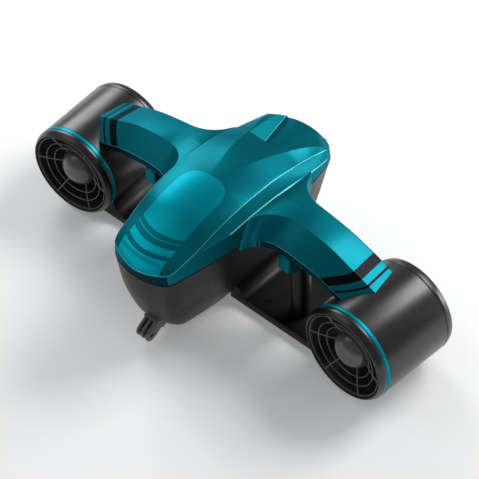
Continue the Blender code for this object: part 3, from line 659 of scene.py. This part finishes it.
def deck_rows(crease):
    """The deck between the creases, row by row from the nose corner to the tail corner."""
    half = len(crease) // 2
    first, last = NOSE_CORNER * LOOP_STEPS, TAIL_CORNER * LOOP_STEPS
    nose = [crease[i] for i in range(first, -1, -1)]
    tail = [crease[i] for i in range(last, half + 1)]
    crown = refined([(value,) for value in CROWN], LOOP_STEPS)
    lead = refined([(value,) for value in LEAD], LOOP_STEPS)
    rows = []
    for row in range(first, last + 1):
        edge = crease[row]
        share = (row - first) / (last - first)
        near_nose = max(0.0, 1 - (row - first) / LOOP_STEPS) ** 2
        near_tail = max(0.0, 1 - (last - row) / LOOP_STEPS) ** 2
        height, run = crown[row - first][0], lead[row - first][0]
        natural = [a[0] / nose[0][0] * (1 - share) + b[0] / tail[0][0] * share
                   for a, b in zip(nose, tail)]
        fold = fold_x(edge[1]) / edge[0]
        gather = min(max((edge[1] - GATHER_Y[0]) / GATHER_Y[1], 0.0), 1.0)
        gather *= min(1.0, (last - row) / LOOP_STEPS)
        ramp = min(max((edge[1] - RAMP_Y[0]) / RAMP_Y[1], 0.0), 1.0) * (1 - near_tail)
        points = []
        for place, across in enumerate(deck_columns(natural, fold, gather)):
            rise = height * deck_height(across, fold, ramp)
            point = np.array([edge[0] * across, edge[1] - run * (1 - across ** 2), edge[2] + rise])
            for loop, weight in ((nose, near_nose), (tail, near_tail)):
                if weight > 0:
                    point += weight * (loop[place] - formula_end(loop, loop[place], run, height))
            points.append(point)
        rows.append([p * (-1, 1, 1) for p in points] + points[-2::-1])
    return rows


def formula_end(loop, target, run, height):
    """Where the deck's formula puts a point of its first or last row."""
    edge = loop[0]
    across = target[0] / edge[0]
    return np.array([target[0], edge[1] - run * (1 - across ** 2), edge[2] + height * (1 - across ** 2.2)])


def canopy_skin():
    crease, girdle, hem = hull_loop(CREASE), hull_loop(girdle_half()), hull_loop(HEM)
    count = len(crease)
    rows = deck_rows(crease)
    width = len(rows[0])
    points = [p for row in rows for p in row]
    faces = []
    for row in range(len(rows) - 1):
        for column in range(width - 1):
            corner = row * width + column
            faces.append((corner, corner + 1, corner + width + 1, corner + width))
    start = len(points)
    band_steps = 5
    levels = []
    for step in range(band_steps + 1):
        share = step / band_steps * LEDGE_SHARE
        bulge = 0.6 * math.sin(math.pi * share)
        levels.append([a + (b - a) * share + outward(girdle, i) * bulge * band_share(i)
                       for i, (a, b) in enumerate(zip(crease, girdle))])
    levels.append([b + outward(girdle, i) * LEDGE_WIDTH * band_share(i) for i, b in enumerate(girdle)])
    for inset, drop in ((0.6, 0.7), (0.9, 1.6)):
        levels.append([b - outward(girdle, i) * inset * band_share(i) - np.array([0, 0, drop * band_share(i)])
                       for i, b in enumerate(girdle)])
    for share, lift in ((0.35, 0), (0.7, 0), (1.0, 0.5)):
        levels.append([b + (c - b) * share + np.array([0, 0, lift]) for b, c in zip(levels[-1], hem)])
    levels.append([c - outward(hem, i) * 0.5 for i, c in enumerate(hem)])
    for level in levels:
        points += level
    faces += ring_faces(count, len(levels), start)
    faces.append(tuple(range(len(points) - count, len(points))))
    return made_object("canopy", points, faces, sharp=28)


def outline_place(index):
    """Place of a loop's point on the half outline: 0 at the nose, one more for each listed point."""
    place = index / LOOP_STEPS
    return min(place, 2 * (len(CREASE) - 1) - place)


def band_share(index):
    """How strongly the side band stands out: fully beside the arms, fading to nothing at nose and tail."""
    place = outline_place(index)
    return min(max((place - 6) / 3, 0.0), 1.0) * min(max((20 - place) / 2, 0.0), 1.0)


def path_tree(path):
    """Look-up of the nearest point on a path."""
    tree = KDTree(len(path))
    for index, place in enumerate(path):
        tree.insert(DESIGN @ Vector(place), index)
    tree.balance()
    return tree


def eased_along(piece, path, width, finish_index=1):
    """Round off a piece's edges that follow a path, with faces of another finish that paints a highlight on
    them.
    """
    tree = path_tree(path)
    shape = bmesh.new()
    shape.from_mesh(piece.data)
    weights = shape.edges.layers.float.new("bevel_weight_edge")
    for edge in shape.edges:
        near = all(tree.find(vertex.co)[2] < 0.03 * MM for vertex in edge.verts)
        if near and len(edge.link_faces) == 2:
            edge[weights] = float(edge.calc_face_angle() > math.radians(5))
    shape.to_mesh(piece.data)
    shape.free()
    bevel = piece.modifiers.new("ease", "BEVEL")
    bevel.width = width * MM
    bevel.segments = 3
    bevel.limit_method = "WEIGHT"
    bevel.material = finish_index
    bevel.use_clamp_overlap = False
    settle(piece)


def ledge_middles():
    """The middle of each face of the ledge under the side band, on both sides."""
    girdle = hull_loop(girdle_half())
    crease = hull_loop(CREASE)
    ledge = []
    for index, (top, low) in enumerate(zip(crease, girdle)):
        inner = top + (low - top) * LEDGE_SHARE
        outer = low + outward(girdle, index) * LEDGE_WIDTH
        ledge.append((inner + outer) / 2)
    middles = []
    for index in range(len(ledge) - 1):
        if LEDGE_RUN[0] <= outline_place(index) <= LEDGE_RUN[1]:
            middles.append((ledge[index] + ledge[index + 1]) / 2)
    return middles


def scoop_line(side):
    """The ridge along one side of the tail recess, where its wall meets the step."""
    steps = 2000
    start, end = (Vector((side * x, y, z)) for x, y, z in SCOOP_FLOOR)
    return [start.lerp(end, step / steps) for step in range(steps + 1)]


def painted_along(piece, path, reach, finish_index=1):
    """Give the faces that lie along a path another finish."""
    tree = path_tree(path)
    for face in piece.data.polygons:
        if tree.find(face.center)[2] < reach * MM:
            face.material_index = finish_index


def painted_where(piece, chosen, finish_index):
    """Give the faces that a test picks another finish."""
    for face in piece.data.polygons:
        if face.material_index == 0 and chosen(face):
            face.material_index = finish_index


def on_chin(face):
    """Whether a canopy face belongs to the steep band under the nose's crease, which gets painted shade."""
    x, y, z = DESIGN.inverted() @ face.center
    return face.normal.z < CHIN_SLOPE and y < -CHIN_Y and z < CHIN_Z + CHIN_RISE * abs(x)


def scoop_cutter():
    """What the tail recess takes out of the canopy: a bulging floor below a ridge on each side."""
    rings = []
    for (x, y, z), slope, (foot, drop) in zip(SCOOP_FLOOR, SCOOP_RISE, SCOOP_STEP):
        rise = slope * SCOOP_REACH
        left = Vector((-x - rise.x, y + rise.y, z + rise.z))
        right = Vector((x + rise.x, y + rise.y, z + rise.z))
        floor = []
        steps = 12
        for step in range(steps + 1):
            share = 2 * step / steps - 1
            floor.append(Vector(((x - foot) * share, y, z - drop + SCOOP_CROWN * (1 - share ** 2))))
        rings.append([Vector((-x, y, z))] + floor + [Vector((x, y, z)), right, left])
    return lofted("scoop_cutter", rings, sharp=20)


def tub_skin():
    hem = hull_loop(HEM)
    levels = refined(TUB_LEVELS, 5)
    rings = []
    rim = [np.array([p[0], p[1], TUB_TOP_Z]) - outward(hem, i) * 0.6 for i, p in enumerate(hem)]
    rings.append(rim)
    for z, across, ahead, astern in levels:
        z = min(z, TUB_TOP_Z - 0.6)
        rings.append([np.array([p[0] * across, p[1] * (ahead if p[1] < 0 else astern), z])
                      for p in hem])
    tub = lofted("tub", rings)
    for z, radius, face_y in TAIL_FITTINGS:
        wide = radius + 0.5
        hole = [(0, 12), (wide, 12), (wide, -8), (0, -8)]
        place = DESIGN @ Matrix.Translation((0, face_y, z)) @ Matrix.Rotation(math.radians(-90), 4, "X")
        combine(tub, turned("fitting_hole", hole, place, 48, closed=False))
    smooth(tub)
    return tub


def camera_mount_skin():
    """Three rounded clamp fingers on a foot, pointing ahead and down from the nose."""
    matrix = DESIGN @ Matrix.Translation((0, *CLAMP_YZ)) @ Matrix.Rotation(CLAMP_TILT, 4, "X")
    arc = [math.radians(90 + 180 * step / 24) for step in range(25)]
    outline = [(CLAMP_R * math.cos(a), CLAMP_R * math.sin(a)) for a in arc]
    outline += [(20, -CLAMP_R), (20, CLAMP_R)]
    across = matrix @ Matrix.Rotation(math.radians(90), 4, "Y")
    parts = []
    for centre in FINGER_X:
        rings = []
        for offset, scale in ((-1.5, 0.94), (-1.35, 0.98), (-1.1, 1), (1.1, 1), (1.35, 0.98), (1.5, 0.94)):
            rings.append([(centre + offset, y if y > 0 else y * scale, z * scale) for y, z in outline])
        finger = lofted("finger", rings, matrix)
        hole = [(0, -12), (CLAMP_HOLE_R, -12), (CLAMP_HOLE_R, 12), (0, 12)]
        combine(finger, turned("clamp_hole", hole, across, 32, closed=False))
        parts.append(finger)
    rings = []
    for y, ease in ((12, 0.8), (12.3, 0.25), (13, 0), (30, 0)):
        wide, tall = 9.5 - ease, 8 - ease
        corners = [(-wide, -tall, 1.4), (wide, -tall, 1.4), (wide, tall, 1.4), (-wide, tall, 1.4)]
        rings.append([(x, y, z) for x, z in rounded(corners, 4)])
    parts.append(lofted("foot", rings, matrix))
    return joined("clamp", parts)


# Arms, wings and grips.


def arm_rings(side, inset=0.0, drop=0.0, first=ARM[0][0], last=ARM_END_X):
    rings = []
    for x, front, rear, bottom, lip, crease_y, crease_z, rear_z in refined(ARM, 6):
        if not first - 0.01 <= x <= last + 0.01:
            continue
        top_bulge = 2.4 * max(0.0, 1 - (x - 44) / 30) * (1 if inset == 0 else 0)
        middle = (crease_y + rear) / 2
        low = bottom - drop
        corners = [
            (front + inset, low, 0.8), (front + inset, lip - inset / 2, 1.0),
            (crease_y + inset / 2, crease_z - inset, 1.2),
            (middle, (crease_z + rear_z) / 2 - inset + top_bulge, 14),
            (rear - inset, rear_z - inset, 2.6), (rear - inset, low, 0.8),
        ]
        rings.append([(side * x, y, z) for y, z in rounded(corners, 4)])
    return rings


def duct_solid(matrix):
    """Room for a thruster, a little wider than its duct."""
    radius = DUCT_R + DUCT_GAP
    outline = [(0, 95), (radius, 95), (radius, -30), (0, -30)]
    return turned("duct_solid", outline, matrix, 128, closed=False)


def on_lip(face):
    """Whether an arm face belongs to the upright lip along its front, which gets painted shade."""
    return face.normal.y < -LIP_FORWARD


def on_lip_edge(face):
    """Whether an arm face belongs to the rounding between the lip and the front facet, which gets a painted
    highlight.
    """
    facing = face.normal.y < -LIP_EDGE_FORWARD and face.normal.z > LIP_EDGE_UP
    return facing and abs(face.center.x) > LIP_EDGE_X * MM


def arm_skin(side, prefix, thruster):
    """Arm cover, hollow and open below, cut clear of the duct."""
    arm = lofted(prefix + "arm", arm_rings(side), sharp=30)
    combine(arm, lofted("arm_hollow", arm_rings(side, ARM_WALL, 6.0, 52.0, 176.0)))
    combine(arm, duct_solid(thruster))
    smooth(arm, 30)
    return arm


def fillet(x, way, radius, ease):
    """Hollow quarter arc from the wing's top up to a wall."""
    reach = radius + ease
    arc = []
    for step in range(13):
        a = math.radians(90 * step / 12)
        arc.append((x + way * reach * math.sin(a), WING_TOP_Z - ease + reach * (1 - math.cos(a))))
    return arc


def wing_skin(side, prefix, thruster):
    """Wing plate with its two hollow fillets, rounded along its front and rear edges."""
    hull_x, hull_r = HULL_FILLET
    duct_x, duct_r = DUCT_FILLET
    toe = abs(JOINTS["right_propeller_spin"]["axis"][0])
    rings = []
    front, rear = WING_Y
    stations = [(front, 1.2), (front + 0.35, 0.35), (front + 1.2, 0)]
    stations += [(rear - 1.2, 0), (rear - 0.35, 0.35), (rear, 1.2)]
    for y, ease in stations:
        shift = y * toe
        section = [(WING_X[0], KEEL_Z + ease), (WING_X[1], KEEL_Z + ease)]
        section.append((WING_X[1], WING_TOP_Z + duct_r - ease))
        section += reversed(fillet(duct_x + shift, 1, duct_r, ease))
        section += fillet(hull_x, -1, hull_r, ease)
        section.append((WING_X[0], WING_TOP_Z + hull_r - ease))
        rings.append([(side * x, y, z) for x, z in section])
    wing = lofted(prefix + "wing", rings)
    combine(wing, duct_solid(thruster))
    for x, y in SCREW_SPOTS:
        hole = [(0, 1), (3.9, 1), (3.6, -0.3), (3.6, -2.5), (2.0, -3.4), (2.0, -8.5), (0, -8.5)]
        place = DESIGN @ Matrix.Translation((side * x, y, WING_TOP_Z))
        combine(wing, turned("screw_hole", hole, place, 32, closed=False))
    smooth(wing)
    return wing


def grip_skin(side, prefix):
    """Upright grip, waisted where the fingers close and flared into the wing.

    It has no slot for the trigger, as part.py's grip has, so the lever overlaps it: an open fault.
    """
    rings = []
    levels, around = 36, 48
    for level in range(levels + 1):
        share = level / levels
        centre = GRIP_BOTTOM.lerp(GRIP_TOP, share)
        low_flare = max(0.0, 1 - share / 0.13) ** 2.2
        waist = 1 - 0.05 * math.sin(math.pi * share) + 0.16 * low_flare
        ring = []
        for step in range(around):
            angle = 2 * math.pi * step / around
            squared = 1 / (abs(math.cos(angle)) ** 2.4 + abs(math.sin(angle)) ** 2.4) ** (1 / 2.4)
            x = centre.x + GRIP_HALF[0] * waist * squared * math.cos(angle)
            y = centre.y + GRIP_HALF[1] * waist * squared * math.sin(angle)
            ring.append((side * x, y, centre.z))
        rings.append(ring)
    return lofted(prefix + "grip", rings)


def trigger_skin(side, prefix):
    """Finger trigger with rounded edges, hung on its pin in the arm."""
    joint = JOINTS[prefix + "trigger_pull"]
    matrix = Matrix.Translation(joint["pos_m"]) @ Matrix.Scale(MM, 4)
    corners = [
        (4.2, 3, 1.5), (3.5, -8, 2), (1.5, -32, 1.2), (-1, -36, 1.6), (-13, -27, 2.2), (-13, -10, 2),
        (-8.5, -7, 1), (-4.2, 3, 1.5),
    ]
    outline = rounded(corners, 4)
    rings = []
    for x, ease in ((-7, 0.8), (-6.7, 0.3), (-6.1, 0), (6.1, 0), (6.7, 0.3), (7, 0.8)):
        middle = Vector((-4, -15))
        rings.append([(x, *(p + (middle - p).normalized() * ease)) for p in outline])
    trigger = lofted(prefix + "trigger_lever", rings, matrix)
    bore = [(0, 20), (TRIGGER_BORE_R, 20), (TRIGGER_BORE_R, -20), (0, -20)]
    across = matrix @ Matrix.Rotation(math.radians(90), 4, "Y")
    combine(trigger, turned("bore", bore, across, 32, closed=False))
    smooth(trigger)
    return trigger


# Thrusters.


def duct_skins(prefix, matrix):
    """The four rings of a duct, by their CAD names."""
    bezel = [
        (DUCT_R, -13.8, 0.3), (DUCT_R + 0.1, -17.2, 5), (LIP_R + 1.4, -21.6, 4), (LIP_R, -22.5, 0.25),
        (LIP_R - 0.7, -22.0, 0.4), (BORE_R, -18.5, 3), (BORE_R, -9.3, 0), (BORE_R + 1.4, -9.3, 0),
        (BORE_R + 1.4, -13.8, 0),
    ]
    accent = [
        (DUCT_R + 0.25, -9.4, 0.5), (DUCT_R + 0.25, -13.5, 0.5), (BORE_R + 1.5, -13.5, 0),
        (BORE_R + 1.5, -9.4, 0),
    ]
    shell = [(DUCT_R, 70.7, 0.4), (DUCT_R, -9.1, 0.3), (BORE_R, -9.1, 0), (BORE_R, 70.7, 0)]
    nozzle = [
        (BORE_R, 71, 0), (BORE_R - 0.2, 80.5, 0.8), (DUCT_R - 4.4, 81.5, 0.8), (DUCT_R - 1.6, 79.8, 3),
        (DUCT_R, 74, 5), (DUCT_R, 71, 0.4),
    ]
    pieces = {}
    for name, outline in (("front_bezel", bezel), ("accent_ring", accent), ("duct_shell", shell),
                          ("rear_nozzle", nozzle)):
        pieces[name] = turned(prefix + name + "_skin", rounded(outline, 5), matrix, 128)
    return pieces


def guard_station(radius):
    """Station of the guard's bars at a radius: they sink towards the hub."""
    share = (GUARD_R - radius) / (GUARD_R - DOME_R)
    return GUARD_Y + GUARD_SINK * max(share, 0) ** 1.3


def guard_skin(prefix, matrix):
    """Front guard: domed hub, two wire rings and six bars that run out to a rim inside the bezel."""
    arc = [math.radians(90 * step / 16) for step in range(17)]
    dome = [(0, 7.5), (DOME_R - 1.2, 7.5), (DOME_R - 0.3, 7.2), (DOME_R, 6.4)]
    dome += [(DOME_R * math.cos(a), DOME_Y - DOME_HEIGHT * math.sin(a)) for a in arc]
    parts = [turned("dome", dome, matrix, 64, closed=False)]
    rim = rounded([(45.9, -18.5, 0.4), (45.9, -21.2, 0.3), (45.1, -21.2, 0.3), (45.1, -18.5, 0.4)], 3)
    parts.append(turned("rim", rim, matrix, 96))
    for radius in GUARD_RINGS:
        around = [math.radians(360 * step / 10) for step in range(10)]
        wire = [(radius + 0.6 * math.cos(a), guard_station(radius) - 0.8 * math.sin(a)) for a in around]
        parts.append(turned("wire", wire, matrix, 96))
    for bar in range(6):
        turn = Matrix.Rotation(math.radians(60 * bar), 4, "Z")
        path = []
        for step in range(13):
            radius = DOME_R - 1.5 + (BORE_R - DOME_R + 1.5) * step / 12
            path.append((radius, 0, guard_station(radius)))
        parts.append(tube("bar", path, 0.85, matrix @ turn))
    return joined(prefix + "guard", parts)


def blade_rings(reach, station, chord, pitches, thick, steps=18, sweep_mm=6.0):
    rings = []
    for step in range(steps + 1):
        share = step / steps
        radius = reach[0] + (reach[1] - reach[0]) * share
        pitch = math.radians(pitches[0] + (pitches[1] - pitches[0]) * share)
        width = chord * (0.75 + 0.5 * math.sin(math.pi * share * 0.75)) * (1 - 0.35 * share ** 4)
        half = thick * (1 - 0.6 * share)
        sweep = sweep_mm * share ** 2
        if step == steps:
            width, half = width * 0.86, half * 0.4
        ring = []
        around = 20
        for turn in range(around):
            angle = 2 * math.pi * turn / around
            along = 0.5 * math.cos(angle)
            across = math.sin(angle) * (1.0 if math.sin(angle) > 0 else 0.6)
            a, b = along * width + sweep, across * half * 0.9
            sideways = a * math.cos(pitch) - b * math.sin(pitch)
            ring.append((radius, sideways, station + a * math.sin(pitch) + b * math.cos(pitch)))
        rings.append(ring)
    return rings


def propeller_skin(side, prefix, matrix):
    hub = [
        (3.3, 29.5, 0), (12.6, 29.5, 1.2), (15, 27.4, 1.5), (15, 12.6, 1.5), (13.2, 10.5, 1.2),
        (3.3, 10.5, 0),
    ]
    parts = [turned("hub", rounded(hub, 4), matrix, 64)]
    for blade in range(3):
        turn = Matrix.Rotation(2 * math.pi * blade / 3, 4, "Z")
        rings = blade_rings((13.2, 43.0), 20.0, 19.0, (side * 50.0, side * 24.0), 1.6)
        parts.append(lofted("blade", rings, matrix @ turn))
    return joined(prefix + "propeller_skin", parts)


def pod_skin(side, prefix, matrix):
    outside = [
        (13, 31, 0), (15.6, 31, 1.0), (17.5, 34, 1.5), (17.5, 61, 12), (14.5, 71, 9), (9, 79, 5),
        (4, 80, 0.6), (4, 76, 0), (10, 70, 0), (14, 62, 0), (14, 36, 0), (13, 36, 0),
    ]
    parts = [turned("pod", rounded(outside, 6), matrix, 72)]
    for vane in range(5):
        turn = Matrix.Rotation(math.radians(90) + 2 * math.pi * vane / 5, 4, "Z")
        rings = blade_rings((16.6, 46.6), 52.0, 26.0, (-side * 78.0, -side * 84.0), 1.4)
        parts.append(lofted("vane", rings, matrix @ turn))
    return joined(prefix + "motor_pod_skin", parts)


# Studio.


def point_at(thing, target):
    """Turn a light or camera to look at a point."""
    direction = Vector(target) - thing.location
    thing.rotation_euler = direction.to_track_quat("-Z", "Y").to_euler()


# Lights in metres and watts: place, size and power.
LIGHTS = {
    "overhead": ((0.48, 1.25, 1.42), (0.9, 0.7), 20),
    "left": ((-1.58, 0.74, 1.02), (0.9, 0.9), 14),
    "right": ((1.25, 1.7, 0.4), (0.7, 0.7), 10),
    "front": ((-1.15, -0.75, 1.6), (1.4, 1.2), 3.6),
}
LIGHT_TARGET = (0, 0, 0.06)
FLOOR_HALF = 3.0
CAMERA_PLACE = (0.8212, -0.8975, 1.3714)
CAMERA_TARGET = (0.01396, 0.00739, 0.06247)
CAMERA_LENS = 132.1


def soft_light(name, place, size, power):
    light = bpy.data.lights.new(name, "AREA")
    light.shape = "RECTANGLE"
    light.size, light.size_y = size
    light.energy = power
    made = placed(name, light)
    made.location = place
    point_at(made, LIGHT_TARGET)


def studio():
    """Dim air, four soft lights, a pale floor, and the camera at the photograph's angle."""
    scene = bpy.context.scene
    world = bpy.data.worlds.new("studio_air")
    world.use_nodes = True
    world.node_tree.nodes["Background"].inputs["Color"].default_value = (0.93, 0.96, 1, 1)
    world.node_tree.nodes["Background"].inputs["Strength"].default_value = 0.25
    scene.world = world
    scene.view_settings.view_transform = "Standard"

    for name, light in LIGHTS.items():
        soft_light(name, *light)

    mesh = bpy.data.meshes.new("floor")
    corners = [(x * FLOOR_HALF, y * FLOOR_HALF, 0) for x, y in ((-1, -1), (1, -1), (1, 1), (-1, 1))]
    mesh.from_pydata(corners, [], [(0, 1, 2, 3)])
    floor = placed("floor", mesh)
    floor.location.z = -0.0005
    finish = Finish("floor_paper", Roughness=0.7, Emission_Color=(1, 1, 1, 1), Emission_Strength=0.19)
    clouds = finish.scaled(finish.noise(3, 4.0), 0, 1)
    shade = finish.mix(clouds, (0.9, 0.9, 0.9, 1), (0.94, 0.94, 0.94, 1))
    finish.feed(finish.shader.inputs["Base Color"], shade)
    mesh.materials.append(finish.material)

    data = bpy.data.cameras.new("camera")
    data.lens = CAMERA_LENS
    data.sensor_width = 36
    data.clip_end = 20
    camera = placed("camera", data)
    camera.location = CAMERA_PLACE
    point_at(camera, CAMERA_TARGET)
    scene.camera = camera


# Assembly.


def fit(piece, material, body, slot, *nodes):
    """Paint a piece, set it on its body, and let it stand for its CAD nodes."""
    if material:
        piece.data.materials.clear()
        piece.data.materials.append(material)
    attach(piece, body)
    if nodes:
        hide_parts(*nodes)


def refinish(materials):
    """Give every CAD node its own procedural material, before some are stood for."""
    for name, node in frame["nodes"].items():
        plain = name.removeprefix("right_").removeprefix("left_")
        for slot in node.material_slots:
            slot.material = materials[CARRIED.get(plain, "black")]


# The material of each CAD node that isn't moulded in black.
CARRIED = {
    "hull_seal": "rubber", "battery_pack": "cells", "controller_board": "board", "power_button": "rubber",
    "charge_plug": "rubber", "inner_wing_screw": "dark_steel", "outer_wing_screw": "dark_steel",
    "trigger_pin": "steel", "trigger_spring": "steel", "motor_cable": "rubber", "propeller_nut": "steel",
    "rotor_shaft": "steel", "motor_winding": "copper", "front_bearing": "steel", "rear_bearing": "steel",
    "shaft_seal": "rubber",
}

MATERIALS = {
    "hull": hull_paint(),
    "arm": arm_paint(),
    "ring": teal_paint("accent_gloss", (0.0, 0.26, 0.34, 1)),
    "trigger": teal_paint("trigger_gloss"),
    # Light teal for painted highlight lines along creases, ridges and edges.
    "edge": teal_paint("painted_highlight_gloss", (0.14, 0.56, 0.62, 1)),
    # Dark teal for painted shade on the arms' lips and the nose's chin.
    "lip": teal_paint("painted_shade_gloss", PAINTED_SHADE_TEAL, 0.03),
    "black": plastic("black_plastic", (0.004, 0.004, 0.0043, 1), (0.36, 0.44),
                     Specular_IOR_Level=0.28),
    "duct": duct_plastic(),
    "guard": plastic("guard_plastic", (0.08, 0.08, 0.081, 1), (0.17, 0.23), 0.00002,
                     Specular_IOR_Level=0.7),
    "rubber": plastic("rubber", (0.014, 0.014, 0.014, 1), (0.6, 0.75), 0.00005),
    "steel": metal("stainless", (0.62, 0.62, 0.64, 1)),
    "dark_steel": metal("blackened_steel", (0.05, 0.05, 0.052, 1)),
    "copper": winding_wire(),
    "board": circuit_board(),
    "cells": cell_wrap(),
}

refinish(MATERIALS)

canopy = canopy_skin()
combine(canopy, scoop_cutter())
for finish in ("hull", "edge", "lip"):
    canopy.data.materials.append(MATERIALS[finish])
# The crease and the recess's ridges are rounded off in painted highlight, and the ledge under the side band
# is painted as a highlight too.
eased_along(canopy, hull_loop(CREASE) + scoop_line(1) + scoop_line(-1), CREASE_BEVEL)
painted_along(canopy, ledge_middles(), LEDGE_REACH)
# The nose's chin gets painted shade.
painted_where(canopy, on_chin, 2)
smooth(canopy, CANOPY_SHARP)
fit(canopy, None, BODY, "hull_teal", "top_cover")
fit(tub_skin(), MATERIALS["black"], BODY, "hull_black", "lower_hull")
fit(camera_mount_skin(), MATERIALS["guard"], BODY, "hull_black", "camera_mount")

for side, prefix in SIDES:
    thruster = thruster_matrix(side, prefix)
    arm = arm_skin(side, prefix, thruster)
    for finish in ("arm", "lip", "edge"):
        arm.data.materials.append(MATERIALS[finish])
    # The arm's lip gets painted shade, and the rounding above it a painted highlight.
    painted_where(arm, on_lip, 1)
    painted_where(arm, on_lip_edge, 2)
    fit(arm, None, BODY, "hull_teal", prefix + "arm_cover")
    fit(wing_skin(side, prefix, thruster), MATERIALS["black"], BODY, "hull_black",
        prefix + "wing_grip")
    fit(grip_skin(side, prefix), MATERIALS["black"], BODY, "hull_black")
    fit(trigger_skin(side, prefix), MATERIALS["trigger"], prefix + "trigger_lever", "trigger_teal",
        prefix + "trigger")
    for name, piece in duct_skins(prefix, thruster).items():
        is_ring = name == "accent_ring"
        fit(piece, MATERIALS["ring" if is_ring else "duct"], BODY, "ring_teal" if is_ring else "duct_black",
            prefix + name)
    fit(guard_skin(prefix, thruster), MATERIALS["guard"], BODY, "guard_black", prefix + "front_guard")
    fit(propeller_skin(side, prefix, thruster), MATERIALS["black"], prefix + "rotor", "propeller_black",
        prefix + "propeller")
    fit(pod_skin(side, prefix, thruster), MATERIALS["black"], BODY, "propeller_black", prefix + "motor_pod")

studio()
